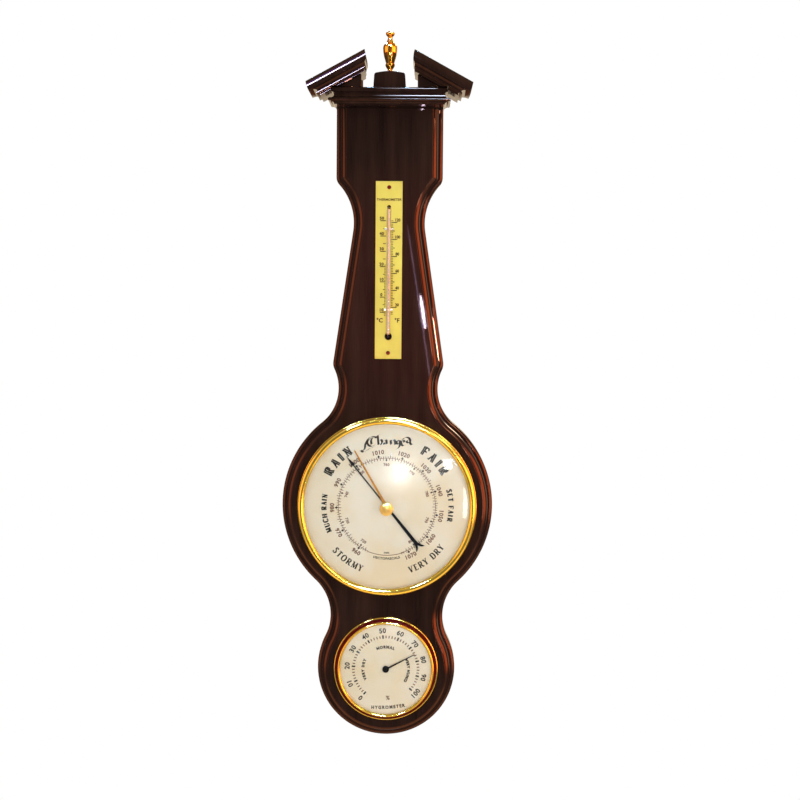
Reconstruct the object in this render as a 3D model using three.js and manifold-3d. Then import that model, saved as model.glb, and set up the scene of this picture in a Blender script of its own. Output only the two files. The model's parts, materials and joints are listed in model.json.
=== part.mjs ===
// Wall weather station: banjo-shaped wooden case with a broken pediment, a brass-plate
// thermometer, an aneroid barometer with a set hand, and a hygrometer.
// Millimetres, +Z up, the wall is the plane y = 0 and the front faces -Y.
// "Height" (h) below means the distance forward from the wall, so y = -h.

import * as THREE from 'three';
import Module from 'manifold-3d';
import { mergeVertices } from 'three/addons/utils/BufferGeometryUtils.js';

const wasm = await Module();
wasm.setup();

// Running and seating clearance between neighbouring pieces
const GAP = 0.3;
const ARC_STEP = THREE.MathUtils.degToRad(9);

// Case board: two round lobes, two necks and a square head
const BOARD_T = 20;
const BARO_LOBE_R = 90;
const HYGRO_LOBE_R = 59;
const HYGRO_LOBE_DROP = 1.4;
const LOBE_SPACING = 140;
const WAIST_R = 41.5;
const NECK_HALF = 42.3;
const NECK_R = 38;
const HIP_R = 12;
const FLARE = THREE.MathUtils.degToRad(8.4);
const UPPER_WAIST_HALF = 30.1;
const UPPER_WAIST_R = 48;
const UPPER_WAIST_Z = 240;
const HEAD_HALF = 45;
const SHOULDER_R = 9.4;
const CORNICE_BASE = 336;
const HEAD_HOUSED = 7.8;
const BOARD_TOP = CORNICE_BASE + HEAD_HOUSED;
// Wall contact point, up from the barometer's centre: the model's origin
const ORIGIN_UP = 284;

// Moulded edge of the board
const EDGE_W = 8.6;
const EDGE_SIDE = 8.5;
const EDGE_BEAD_R = 3;
const EDGE_FILLET = 0.8;
const EDGE_TOP_STEP = 0.7;

// Pediment
const CORNICE_H = 13.9;
const CORNICE_FRONT = 38;
const CORNICE_BEAD_OUT = 5.6;
const CORNICE_FASCIA_OUT = 2.8;
const CORNICE_NECK_OUT = 0.8;
const TYMPANUM_FRONT = 38;
const TYMPANUM_EDGE = 23.2;
const RAKE = THREE.MathUtils.degToRad(28.6);
const RAKE_TIP_X = 70;
const RAKE_TIP_UP = 3;
const RAKE_T = 15.6;
const RAKE_OUT = 10;
const RAKE_INNER_RETURN = 0.38;
const PLINTH_FRONT = 36;
const PLINTH_H = 13.4;
const PLINTH_HALF_BASE = 14.1;
const PLINTH_HALF_TOP = 12.9;
const PLINTH_CROWN = 1.2;
const PLINTH_CORNER_R = 2.2;
const FINIAL_H = 34.9;
const FINIAL_DEPTH = 20;
const FINIAL_STUD_R = 1.5;
const FINIAL_STUD_L = 8;

// Hanger let into the back of the head
const HANGER_UP = CORNICE_BASE - 23;
const HANGER_L = 44;
const HANGER_W = 16;
const HANGER_T = 1.2;
const HANGER_EYE_R = 4.6;
const HANGER_SLOT_R = 2.4;
const HANGER_SLOT_L = 9;
const HANGER_SCREW_X = 16;
const NAIL_POCKET_HALF = 8;
const NAIL_POCKET_DEPTH = 8;
const SCREW_R = 1.3;
const SCREW_HEAD_R = 2.6;
const SCREW_HEAD_T = 0.9;
const SCREW_L = 9;

// Thermometer
const THERMO_UP = 200;
const THERMO_W = 22.4;
const THERMO_L = 149;
const THERMO_T = 0.8;
const PIN_INSET = 5.1;
const PIN_R = 0.8;
const PIN_HEAD_R = 1.7;
const PIN_HEAD_H = 0.8;
const PIN_L = 8;
const TUBE_R = 1.3;
const TUBE_BORE_R = 0.6;
const TUBE_TOP = THERMO_UP + THERMO_L / 2 - 21.5;
const BULB_UP = THERMO_UP - THERMO_L / 2 + 18.9;
const BULB_R = 2.3;
const BULB_HOLE_R = 3.1;
const BULB_POCKET = 7;
const SPIRIT_R = 0.3;
const SPIRIT_TOP = THERMO_UP - 4;
const CLIP_UPS = [TUBE_TOP - 18.5, BULB_UP + 22.6];
const CLIP_T = 0.45;
const CLIP_W = 1.6;
const CLIP_FOOT = 1.5;

// Barometer
const BEZEL_R = 76.2;
const BEZEL_FOOT = 3.2;
const BEZEL_BAND_R = 2.7;
const BEZEL_LIP_R = BEZEL_R - 6;
const BARO_BORE_R = BEZEL_LIP_R - 4.9;
const PAN_WALL = 0.9;
const PAN_BACK = 1;
const PAN_FLANGE_R = BEZEL_R - BEZEL_FOOT - 2 * GAP;
const BARO_DIAL_R = PAN_FLANGE_R;
const DIAL_T = 0.8;
const DIAL_HOLE_R = 3.2;
const GLASS_T = 1;
const GLASS_R = PAN_FLANGE_R;
const GLASS_SEAT = 4.4;
const GLASS_SAG = 7.5;
const GLASS_HOLE_R = 2;
const GLASS_RING_W = 1.4;
const GLASS_RING_SPLIT = THREE.MathUtils.degToRad(6);
const PAN_SCREW_R = (BARO_BORE_R + PAN_FLANGE_R) / 2;
const POINTER_H = 23.9;
const POINTER_T = 0.6;
const POINTER_TIP = BEZEL_LIP_R - 14.6;
const POINTER_HEAD_L = 11;
const POINTER_TAIL = BEZEL_LIP_R - 24.2;
const POINTER_HUB_R = 3.4;
const POINTER_DEG = -39;
const ARBOR_R = 0.7;
const SET_HAND_H = 25.6;
const SET_HAND_L = BEZEL_LIP_R - 14.2;
const SET_HAND_DEG = -30;
const SET_STEM_R = 1.6;
const COLLAR_R = 3.2;
const KNOB_R = 5.7;
const KNOB_H = 7.5;

// Aneroid movement, inside the pan
const BASE_R = 50;
const BASE_T = 1.2;
const CAPSULE_R = 19;
const CAPSULE_T = 5;
const CAPSULE_X = -14;
const CAPSULE_Z = -26;
const CAPSULE_STUD_R = 2.2;
const CAPSULE_STUD_H = 2.4;
const SPRING_W = 14;
const SPRING_T = 0.8;
const SPRING_L = 34;
const BRACKET_W = 16;
const BRACKET_T = 6;
const LEVER_R = 0.9;
const LEVER_INSET = 4;
const LEVER_FOOT_W = 6;
const LEVER_FOOT_L = 10;
const ROCK_Z = 22;
const ROCK_H = 6.2;
const ROCK_R = 1;
const ROCK_ARM_L = 2.5;
const ROCK_ARM_R = 0.5;
const ROCK_TALL_R = 0.8;
const ROCK_END = 9;
const BEARING_T = 2;
const BEARING_HALF = 3;
const DRUM_R = 1;
const DRUM_T = 2.4;
const DRUM_H = 12.6;
const CHAIN_R = 0.35;
const LINK_R = 0.5;
const HAIRSPRING_TURNS = 3;
const HAIRSPRING_R = 8;
const HAIRSPRING_W = 0.8;
const HAIRSPRING_T = 0.25;
const BRIDGE_H = 17.6;
const BRIDGE_T = 1.4;
const BRIDGE_W = 9;
const BRIDGE_HALF = 26;
const PILLAR_R = 2;
const ADJUST_HEAD_R = 3;
const ADJUST_R = 1.3;

// Hygrometer
const HYGRO_BEZEL_R = 44.5;
const HYGRO_BEZEL_FOOT = 2.3;
const HYGRO_LIP_R = HYGRO_BEZEL_R - 5.7;
const HYGRO_FLANGE_R = HYGRO_BEZEL_R - HYGRO_BEZEL_FOOT - GAP;
const HYGRO_BORE_R = HYGRO_FLANGE_R - 2.8;
const HYGRO_BORE_BACK = 5;
const HYGRO_DIAL_R = HYGRO_FLANGE_R;
const HYGRO_DIAL_HOLE_R = 1.6;
const HYGRO_GLASS_R = HYGRO_FLANGE_R;
const HYGRO_GLASS_SEAT = 2.9;
const HYGRO_GLASS_SAG = 3;
const HYGRO_BEZEL_TOP = 6.2;
const HYGRO_SCREW_R = (HYGRO_BORE_R + HYGRO_FLANGE_R) / 2;
const HYGRO_PIN_R = 0.8;
const HYGRO_POINTER_H = 23.3;
const HYGRO_POINTER_L = HYGRO_LIP_R - 10.8;
const HYGRO_POINTER_DEG = 62;
const HYGRO_HUB_R = 2.9;
const HYGRO_ARBOR_R = 0.7;
const COIL_TURNS = 4;
const COIL_R = 12;
const COIL_W = 5;
const COIL_T = 0.3;
const COIL_H = 8.6;
const HYGRO_BRIDGE_T = 1.2;
const HYGRO_BRIDGE_W = 8;
const HYGRO_LEG_R = 2;
const HYGRO_BRIDGE_REACH = 7;

// Turned pieces are drawn with this many flats, large and small
const FLATS_LARGE = 40;
const FLATS = 16;
const FLATS_SMALL = 8;
const SPIRAL_STEPS = 12;

const finish = (color, roughness, metalness) => ({ color, roughness, metalness });
const LACQUER = finish(0x341a16, 0.18, 0);
const BRASS = finish(0xe3b548, 0.25, 1);
const BRASS_SATIN = finish(0xdfc062, 0.38, 1);
const STEEL = finish(0x9a9a96, 0.35, 1);
const TINPLATE = finish(0xb4b2aa, 0.45, 1);
const BLUED = finish(0x11131f, 0.3, 1);
const GLASS = finish(0xf2f5f2, 0.05, 0);
const CARD = finish(0xe8d7be, 0.6, 0);
const NICKEL = finish(0xc2bfb6, 0.3, 1);
const SPIRIT = finish(0xb3202a, 0.3, 0);
const PAPER_METAL = finish(0xc8a86a, 0.5, 1);

const station = new THREE.Group();
station.name = 'weather_station';
const heights = new THREE.Group();
heights.position.z = -ORIGIN_UP;
station.add(heights);

function place(name, geometry, look, group = heights) {
  const mesh = new THREE.Mesh(geometry, new THREE.MeshStandardMaterial(look));
  mesh.name = name;
  group.add(mesh);
  return mesh;
}

// Welded copy of a geometry with its faces pointing out
function welded(geometry) {
  const source = geometry.clone();
  for (const key of ['normal', 'uv']) source.deleteAttribute(key);
  const merged = mergeVertices(source, 1e-4);
  const p = merged.getAttribute('position');
  const kept = [];
  let volume = 0;
  const [a, b, c] = [new THREE.Vector3(), new THREE.Vector3(), new THREE.Vector3()];
  for (let i = 0; i < merged.index.count; i += 3) {
    const tri = [0, 1, 2].map((k) => merged.index.getX(i + k));
    if (new Set(tri).size < 3) continue;
    kept.push(tri);
    [a, b, c].forEach((v, k) => v.fromBufferAttribute(p, tri[k]));
    volume += a.dot(b.cross(c));
  }
  const turned = volume < 0 ? kept.map(([i, j, k]) => [i, k, j]) : kept;
  merged.setIndex(turned.flat());
  return merged;
}

function solid(geometry) {
  const g = welded(geometry);
  return new wasm.Manifold(new wasm.Mesh({
    numProp: 3,
    vertProperties: new Float32Array(g.getAttribute('position').array),
    triVerts: new Uint32Array(g.index.array),
  }));
}

function geometryOf(manifold) {
  const mesh = manifold.getMesh();
  const g = new THREE.BufferGeometry();
  g.setAttribute('position', new THREE.BufferAttribute(new Float32Array(mesh.vertProperties), 3));
  g.setIndex(new THREE.BufferAttribute(new Uint32Array(mesh.triVerts), 1));
  return g;
}

function cut(base, ...tools) {
  return geometryOf(tools.reduce((body, tool) => body.subtract(solid(tool)), solid(base)));
}

function joined(base, ...others) {
  return geometryOf(others.reduce((body, other) => body.add(solid(other)), solid(base)));
}

// Turned about the Y axis from a profile of [radius, height from the wall]
function turned(profile, flats = FLATS) {
  const points = profile.map(([r, h]) => new THREE.Vector2(r, -h));
  return welded(new THREE.LatheGeometry(points, flats));
}

// A ring or tube about the Y axis: the closed profile comes back to its first point
const turnedRing = (profile, flats) => turned([...profile, profile[0]], flats);

// A plain pin or disc about the Y axis
const disc = (r, h0, h1, flats = FLATS) => turned([[0, h0], [r, h0], [r, h1], [0, h1]], flats);

const washer = (inner, outer, h0, h1, flats = FLATS) => (
  turnedRing([[inner, h0], [outer, h0], [outer, h1], [inner, h1]], flats));

// A flat shape in x and z, made thick from height h0 towards the viewer
function slab(shape, h0, thickness, curveSegments = FLATS_SMALL) {
  const g = new THREE.ExtrudeGeometry(shape, { depth: thickness, bevelEnabled: false, curveSegments });
  return welded(g.rotateX(Math.PI / 2).translate(0, -h0, 0));
}

// A block given by its lowest and highest corners, with height for depth
function block(x0, x1, h0, h1, z0, z1) {
  const g = new THREE.BoxGeometry(x1 - x0, h1 - h0, z1 - z0);
  return g.translate((x0 + x1) / 2, -(h0 + h1) / 2, (z0 + z1) / 2);
}

// A round bar between two points [x, h, z]
function bar(from, to, r, flats = FLATS_SMALL) {
  const a = new THREE.Vector3(from[0], -from[1], from[2]);
  const b = new THREE.Vector3(to[0], -to[1], to[2]);
  const g = new THREE.CylinderGeometry(r, r, a.distanceTo(b), flats);
  const turn = new THREE.Quaternion().setFromUnitVectors(
    new THREE.Vector3(0, 1, 0), b.clone().sub(a).normalize());
  return g.applyQuaternion(turn).translate((a.x + b.x) / 2, (a.y + b.y) / 2, (a.z + b.z) / 2);
}

// Quads between rings of equally many points, closed by a cap at each end
function lofted(rings, capIndices) {
  const n = rings[0].length;
  const index = [];
  for (let k = 0; k < rings.length - 1; k += 1) {
    for (let i = 0; i < n; i += 1) {
      const j = (i + 1) % n;
      index.push(k * n + i, k * n + j, (k + 1) * n + j, k * n + i, (k + 1) * n + j, (k + 1) * n + i);
    }
  }
  const last = (rings.length - 1) * n;
  for (const [i, j, k] of capIndices) index.push(i, k, j, last + i, last + j, last + k);
  const g = new THREE.BufferGeometry();
  g.setAttribute('position', new THREE.Float32BufferAttribute(rings.flat(2), 3));
  g.setIndex(index);
  return welded(g);
}

const QUAD_CAP = [[0, 1, 2], [0, 2, 3]];

function arcPoints(centre, r, from, to) {
  const steps = Math.max(2, Math.ceil(Math.abs(to - from) / ARC_STEP));
  return Array.from({ length: steps + 1 }, (_, i) => {
    const a = from + ((to - from) * i) / steps;
    return new THREE.Vector2(centre.x + r * Math.cos(a), centre.y + r * Math.sin(a));
  });
}

const angleTo = (from, to) => Math.atan2(to.y - from.y, to.x - from.x);

// Right half of the board's outline, from the bottom up: each arc runs into the next
function rightOutline() {
  const baro = new THREE.Vector2(0, 0);
  const apart = LOBE_SPACING + HYGRO_LOBE_DROP;
  const hygro = new THREE.Vector2(0, -apart);
  const toBaro = BARO_LOBE_R + WAIST_R;
  const toHygro = HYGRO_LOBE_R + WAIST_R;
  const waistDown = (toBaro ** 2 - toHygro ** 2 + apart ** 2) / (2 * apart);
  const waist = new THREE.Vector2(Math.sqrt(toBaro ** 2 - waistDown ** 2), -waistDown);
  const neckX = NECK_HALF + NECK_R;
  const neck = new THREE.Vector2(neckX, Math.sqrt((BARO_LOBE_R + NECK_R) ** 2 - neckX ** 2));
  const upper = new THREE.Vector2(UPPER_WAIST_HALF + UPPER_WAIST_R, UPPER_WAIST_Z);
  const down = new THREE.Vector2(Math.sin(FLARE), -Math.cos(FLARE));
  const inward = new THREE.Vector2(-Math.cos(FLARE), -Math.sin(FLARE));
  const start = upper.clone().addScaledVector(inward, UPPER_WAIST_R + HIP_R);
  const toNeck = start.clone().sub(neck);
  const along = -toNeck.dot(down);
  const reach = Math.sqrt((NECK_R + HIP_R) ** 2 - toNeck.lengthSq() + along ** 2);
  const hip = start.clone().addScaledVector(down, along - reach);
  const shoulderX = HEAD_HALF - SHOULDER_R;
  const shoulderUp = Math.sqrt((UPPER_WAIST_R + SHOULDER_R) ** 2 - (upper.x - shoulderX) ** 2);
  const shoulder = new THREE.Vector2(shoulderX, UPPER_WAIST_Z + shoulderUp);
  const turn = 2 * Math.PI;
  return [
    ...arcPoints(hygro, HYGRO_LOBE_R, -Math.PI / 2, angleTo(hygro, waist)),
    ...arcPoints(waist, WAIST_R, turn + angleTo(waist, hygro), angleTo(waist, baro)).slice(1),
    ...arcPoints(baro, BARO_LOBE_R, angleTo(baro, waist), angleTo(baro, neck)).slice(1),
    ...arcPoints(neck, NECK_R, turn + angleTo(neck, baro), angleTo(neck, hip)).slice(1),
    ...arcPoints(hip, HIP_R, angleTo(hip, neck), FLARE).slice(1),
    ...arcPoints(upper, UPPER_WAIST_R, Math.PI + FLARE, angleTo(upper, shoulder)),
    ...arcPoints(shoulder, SHOULDER_R, angleTo(shoulder, upper), 0).slice(1),
    new THREE.Vector2(HEAD_HALF, BOARD_TOP),
  ];
}

// The outline moved inward by d, with mitred corners
function insetOutline(outline, d) {
  const n = outline.length;
  return outline.map((p, i) => {
    const before = p.clone().sub(outline[(i + n - 1) % n]).normalize();
    const after = outline[(i + 1) % n].clone().sub(p).normalize();
    const normal = new THREE.Vector2(-before.y - after.y, before.x + after.x).normalize();
    const mitre = normal.x * -before.y + normal.y * before.x;
    return p.clone().addScaledVector(normal, d / mitre);
  });
}

// Section of the moulded edge: side, bead, fillet and ovolo, as [inset, height]
function edgeSection() {
  const quarter = 3;
  const bead = Array.from({ length: quarter + 1 }, (_, i) => {
    const a = (Math.PI / 2) * (i / quarter);
    return [EDGE_BEAD_R * (1 - Math.cos(a)), EDGE_SIDE + EDGE_BEAD_R * Math.sin(a)];
  });
  const ovoloStart = EDGE_BEAD_R + EDGE_FILLET;
  const ovoloBase = EDGE_SIDE + EDGE_BEAD_R;
  const ovoloW = EDGE_W - ovoloStart;
  const ovoloH = BOARD_T - EDGE_TOP_STEP - ovoloBase;
  const ovolo = Array.from({ length: quarter + 1 }, (_, i) => {
    const a = (Math.PI / 2) * (i / quarter);
    return [ovoloStart + ovoloW * (1 - Math.cos(a)), ovoloBase + ovoloH * Math.sin(a)];
  });
  return [[0, 0], ...bead, ...ovolo, [EDGE_W, BOARD_T]];
}

const right = rightOutline();
const left = right.slice(1).reverse().map((p) => new THREE.Vector2(-p.x, p.y));
const outline = [...right, ...left];

const bulbPocket = disc(BULB_HOLE_R + GAP, BOARD_T - BULB_POCKET, BOARD_T + GAP, FLATS)
  .translate(0, 0, BULB_UP);
const pinUps = [THERMO_L / 2 - PIN_INSET, PIN_INSET - THERMO_L / 2].map((up) => THERMO_UP + up);
const screwHole = (x, z, h0, h1, r = SCREW_R) => disc(r + GAP, h0, h1, FLATS_SMALL).translate(x, 0, z);
const spread = (count, r, startDeg) => Array.from({ length: count }, (_, i) => {
  const a = THREE.MathUtils.degToRad(startDeg + (360 * i) / count);
  return [r * Math.cos(a), r * Math.sin(a)];
});
const panScrews = spread(3, PAN_SCREW_R, 90);
const hygroScrews = spread(2, HYGRO_SCREW_R, 0).map(([x, z]) => [x, z - LOBE_SPACING]);

function caseBoard() {
  const rings = edgeSection().map(([inset, h]) => (
    insetOutline(outline, inset).map((p) => [p.x, -h, p.y])));
  const board = lofted(rings, THREE.ShapeUtils.triangulateShape(outline, []));
  const hangerSeat = block(-HANGER_L / 2 - GAP, HANGER_L / 2 + GAP, -GAP, HANGER_T + 2 * GAP,
    HANGER_UP - HANGER_W / 2 - GAP, HANGER_UP + HANGER_W / 2 + GAP);
  const nailPocket = block(-NAIL_POCKET_HALF, NAIL_POCKET_HALF, -GAP, NAIL_POCKET_DEPTH,
    HANGER_UP - HANGER_W / 2 + 1, HANGER_UP + HANGER_W / 2 - 1);
  return cut(board,
    disc(BARO_BORE_R, -1, BOARD_T + 1, FLATS_LARGE),
    disc(HYGRO_BORE_R, HYGRO_BORE_BACK, BOARD_T + 1, FLATS_LARGE).translate(0, 0, -LOBE_SPACING),
    hangerSeat, nailPocket, bulbPocket,
    ...pinUps.map((z) => screwHole(0, z, BOARD_T - PIN_L, BOARD_T + 1, PIN_R)),
    ...panScrews.map(([x, z]) => screwHole(x, z, BOARD_T - SCREW_L, BOARD_T + 1)),
    ...hygroScrews.map(([x, z]) => screwHole(x, z, BOARD_T - SCREW_L, BOARD_T + 1, HYGRO_PIN_R)),
    ...[-1, 1].map((s) => screwHole(s * HANGER_SCREW_X, HANGER_UP, 0, SCREW_L + 2 * GAP)));
}
place('case_board', caseBoard(), LACQUER);

// Horizontal cornice: [up from its base, out from the head], mitred at both corners
const beadUp = 3.6;
const beadR = 1.3;
const corniceSection = [
  [0, CORNICE_NECK_OUT],
  [1, CORNICE_NECK_OUT],
  [1.7, 3.4],
  [beadUp - beadR, CORNICE_BEAD_OUT - 0.6],
  [beadUp, CORNICE_BEAD_OUT],
  [beadUp + beadR, CORNICE_BEAD_OUT - 0.9],
  [beadUp + beadR + 0.2, 2],
  [6.6, CORNICE_NECK_OUT],
  [9.4, CORNICE_NECK_OUT],
  [9.8, CORNICE_FASCIA_OUT],
  [CORNICE_H, CORNICE_FASCIA_OUT],
];

const mouldedRing = (halfX, front, z) => (
  [[-halfX, 0, z], [-halfX, -front, z], [halfX, -front, z], [halfX, 0, z]]);

function horizontalCornice() {
  const rings = corniceSection.map(([up, out]) => (
    mouldedRing(HEAD_HALF + out, CORNICE_FRONT + out, CORNICE_BASE + up)));
  const headHousing = block(-HEAD_HALF - GAP, HEAD_HALF + GAP, -1, BOARD_T + GAP,
    CORNICE_BASE - 1, BOARD_TOP + GAP);
  return cut(lofted(rings, QUAD_CAP), headHousing);
}
place('horizontal_cornice', horizontalCornice(), LACQUER);

// Raking cornice: [down across the slope, out from the tympanum]
const rakeSection = [
  [0, RAKE_OUT - 1],
  [0.8, RAKE_OUT],
  [3.2, RAKE_OUT],
  [3.4, RAKE_OUT - 1.5],
  [5.4, 6.3],
  [8, 4.7],
  [10.6, 4.2],
  [10.8, 5.2],
  [12.3, 5.2],
  [12.6, 3.6],
  [14.2, 2.2],
  [RAKE_T, 1.2],
];
const corniceTop = CORNICE_BASE + CORNICE_H;
const rakeTipZ = corniceTop + RAKE_TIP_UP;
// Height of the raking cornice's top line, and of its underside, over a place x
const rakeTopAt = (x) => rakeTipZ + (RAKE_TIP_X - x) * Math.tan(RAKE);
const rakeUnderAt = (x) => rakeTopAt(x) - RAKE_T / Math.cos(RAKE);

function rakingCornice(side) {
  const rings = rakeSection.map(([down, out]) => {
    const lowX = RAKE_TIP_X - down * Math.sin(RAKE) - (RAKE_OUT - out) * Math.cos(RAKE);
    const lowZ = rakeTipZ - down * Math.cos(RAKE) + (RAKE_OUT - out) * Math.sin(RAKE);
    const highX = TYMPANUM_EDGE - RAKE_INNER_RETURN * out;
    const highZ = rakeTopAt(highX) - down / Math.cos(RAKE);
    const front = TYMPANUM_FRONT + out;
    const [lo, hi] = [side * lowX, side * highX];
    return [[lo, 0, lowZ], [lo, -front, lowZ], [hi, -front, highZ], [hi, 0, highZ]];
  });
  const fascia = HEAD_HALF + CORNICE_FASCIA_OUT + GAP;
  const corniceRoom = block(-fascia, fascia, -1, 2 * CORNICE_FRONT, CORNICE_BASE, corniceTop + GAP);
  return cut(lofted(rings, QUAD_CAP), corniceRoom);
}

function tympanum(side) {
  const low = corniceTop + GAP;
  const under = (x) => rakeUnderAt(x) - GAP;
  const outerX = RAKE_TIP_X - (low - under(RAKE_TIP_X)) / Math.tan(RAKE);
  const shape = new THREE.Shape([
    new THREE.Vector2(side * TYMPANUM_EDGE, low),
    new THREE.Vector2(side * outerX, low),
    new THREE.Vector2(side * TYMPANUM_EDGE, under(TYMPANUM_EDGE)),
  ]);
  return slab(shape, 0, TYMPANUM_FRONT);
}

for (const [word, side] of [['left', -1], ['right', 1]]) {
  place(`raking_cornice_${word}`, rakingCornice(side), LACQUER);
  place(`tympanum_${word}`, tympanum(side), LACQUER);
}

// Plinth with a slightly arched, round-cornered top, bored for the finial's stud
const plinthZ = corniceTop + GAP;
function plinth() {
  const cornerR = PLINTH_CORNER_R;
  const side = PLINTH_H - PLINTH_CROWN - cornerR;
  const shape = new THREE.Shape();
  shape.moveTo(-PLINTH_HALF_BASE, 0);
  shape.lineTo(PLINTH_HALF_BASE, 0);
  shape.lineTo(PLINTH_HALF_TOP, side);
  shape.quadraticCurveTo(PLINTH_HALF_TOP, side + cornerR, PLINTH_HALF_TOP - cornerR, side + cornerR);
  shape.quadraticCurveTo(0, PLINTH_H + PLINTH_CROWN, cornerR - PLINTH_HALF_TOP, side + cornerR);
  shape.quadraticCurveTo(-PLINTH_HALF_TOP, side + cornerR, -PLINTH_HALF_TOP, side);
  const hole = new THREE.CylinderGeometry(FINIAL_STUD_R + GAP, FINIAL_STUD_R + GAP,
    2 * (FINIAL_STUD_L + GAP), FLATS_SMALL);
  hole.rotateX(Math.PI / 2).translate(0, -FINIAL_DEPTH, PLINTH_H);
  return cut(slab(shape, 0, PLINTH_FRONT), hole).translate(0, 0, plinthZ);
}
place('finial_plinth', plinth(), LACQUER);

// Turned finial: [radius, up from its flange], with a threaded stud below
const finialSection = [
  [0, -FINIAL_STUD_L],
  [FINIAL_STUD_R, -FINIAL_STUD_L],
  [FINIAL_STUD_R, 0],
  [4.4, 0],
  [4.2, 0.8],
  [3.2, 1.4],
  [2.1, 3.2],
  [3.2, 4.6],
  [4, 6.4],
  [3.9, 7.5],
  [3.3, 8.2],
  [3.7, 9],
  [4.3, 11],
  [5, 13.2],
  [5.6, 16.5],
  [5.9, 19.8],
  [5.8, 22],
  [5.1, 23.4],
  [3.5, 24.9],
  [2.6, 26.6],
  [1.9, 29.1],
  [2.3, 30.4],
  [3.6, 32],
  [3.4, 33.3],
  [1.8, 34.5],
  [0, FINIAL_H],
];
function finial() {
  const points = finialSection.map(([r, up]) => new THREE.Vector2(r, up));
  return welded(new THREE.LatheGeometry(points, FLATS).rotateX(Math.PI / 2));
}
place('finial', finial().translate(0, -FINIAL_DEPTH, plinthZ + PLINTH_H + GAP), BRASS);

// Keyhole hanger plate, flush in the back of the head
function hangerPlate() {
  const shape = new THREE.Shape();
  const halfL = HANGER_L / 2;
  const halfW = HANGER_W / 2;
  shape.moveTo(-halfL, -halfW);
  shape.lineTo(halfL, -halfW);
  shape.lineTo(halfL, halfW);
  shape.lineTo(-halfL, halfW);
  const eye = -HANGER_SLOT_L / 2 + HANGER_SLOT_R;
  const plate = slab(shape, GAP, HANGER_T);
  const slotTop = eye + HANGER_SLOT_L - HANGER_SLOT_R;
  return cut(plate,
    disc(HANGER_EYE_R, -1, HANGER_T + 1, FLATS).translate(0, 0, eye),
    block(-HANGER_SLOT_R, HANGER_SLOT_R, -1, HANGER_T + 1, eye, slotTop),
    disc(HANGER_SLOT_R, -1, HANGER_T + 1, FLATS).translate(0, 0, slotTop),
    ...[-1, 1].map((s) => disc(SCREW_R + GAP, -1, HANGER_T + 1, FLATS_SMALL)
      .translate(s * HANGER_SCREW_X, 0, 0)),
    ...[-1, 1].map((s) => disc(SCREW_HEAD_R + GAP, -1, GAP + SCREW_HEAD_T / 2, FLATS_SMALL)
      .translate(s * HANGER_SCREW_X, 0, 0)));
}
place('hanger_plate', hangerPlate().translate(0, 0, HANGER_UP), STEEL);

// Wood screw with a flat head, its head outermost at height h0 and its point at h1
function screw(h0, h1) {
  const into = Math.sign(h1 - h0);
  const neck = h0 + into * SCREW_HEAD_T * 0.5;
  return turned([[0, h0], [SCREW_HEAD_R, h0], [SCREW_HEAD_R, neck], [SCREW_R, neck],
    [SCREW_R, h1 - into], [0, h1]], FLATS_SMALL);
}
for (const [word, side] of [['left', -1], ['right', 1]]) {
  place(`hanger_screw_${word}`,
    screw(0, SCREW_L).translate(side * HANGER_SCREW_X, 0, HANGER_UP), STEEL);
}

// Thermometer: brass plate, glass tube with its bulb in a hole, spirit thread, clips and pins
const plateFront = BOARD_T + GAP + THERMO_T;
const tubeH = plateFront + GAP + TUBE_R;
function thermometerPlate() {
  const halfW = THERMO_W / 2;
  const plate = block(-halfW, halfW, BOARD_T + GAP, plateFront,
    THERMO_UP - THERMO_L / 2, THERMO_UP + THERMO_L / 2);
  const hole = (z, r) => disc(r, BOARD_T, plateFront + GAP, FLATS).translate(0, 0, z);
  return cut(plate, hole(BULB_UP, BULB_HOLE_R), hole(TUBE_TOP, TUBE_R + GAP),
    ...pinUps.map((z) => hole(z, PIN_R + GAP)));
}
place('thermometer_plate', thermometerPlate(), BRASS_SATIN);

function upright(profile, flats = FLATS_SMALL) {
  const points = profile.map(([r, up]) => new THREE.Vector2(r, up));
  return welded(new THREE.LatheGeometry(points, flats).rotateX(Math.PI / 2));
}
const tubeFoot = BULB_UP + TUBE_R + GAP;
function glassTube() {
  const length = TUBE_TOP - tubeFoot;
  const crown = length - TUBE_R;
  return upright([[TUBE_BORE_R, 0], [TUBE_R, 0], [TUBE_R, crown], [TUBE_R * 0.7, length - 0.4],
    [0, length], [0, crown - 1], [TUBE_BORE_R, crown - 1], [TUBE_BORE_R, 0]])
    .translate(0, -tubeH, tubeFoot);
}
place('thermometer_tube', glassTube(), GLASS);
function bulb() {
  const h0 = BOARD_T - BULB_POCKET + BULB_R + GAP;
  const round = new THREE.SphereGeometry(BULB_R, FLATS_SMALL, FLATS_SMALL).translate(0, -h0, 0);
  return joined(round, disc(TUBE_R, h0, tubeH + TUBE_R, FLATS_SMALL)).translate(0, 0, BULB_UP);
}
place('thermometer_bulb', bulb(), SPIRIT);
place('spirit_thread', bar([0, tubeH, tubeFoot], [0, tubeH, SPIRIT_TOP], SPIRIT_R), SPIRIT);

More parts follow.
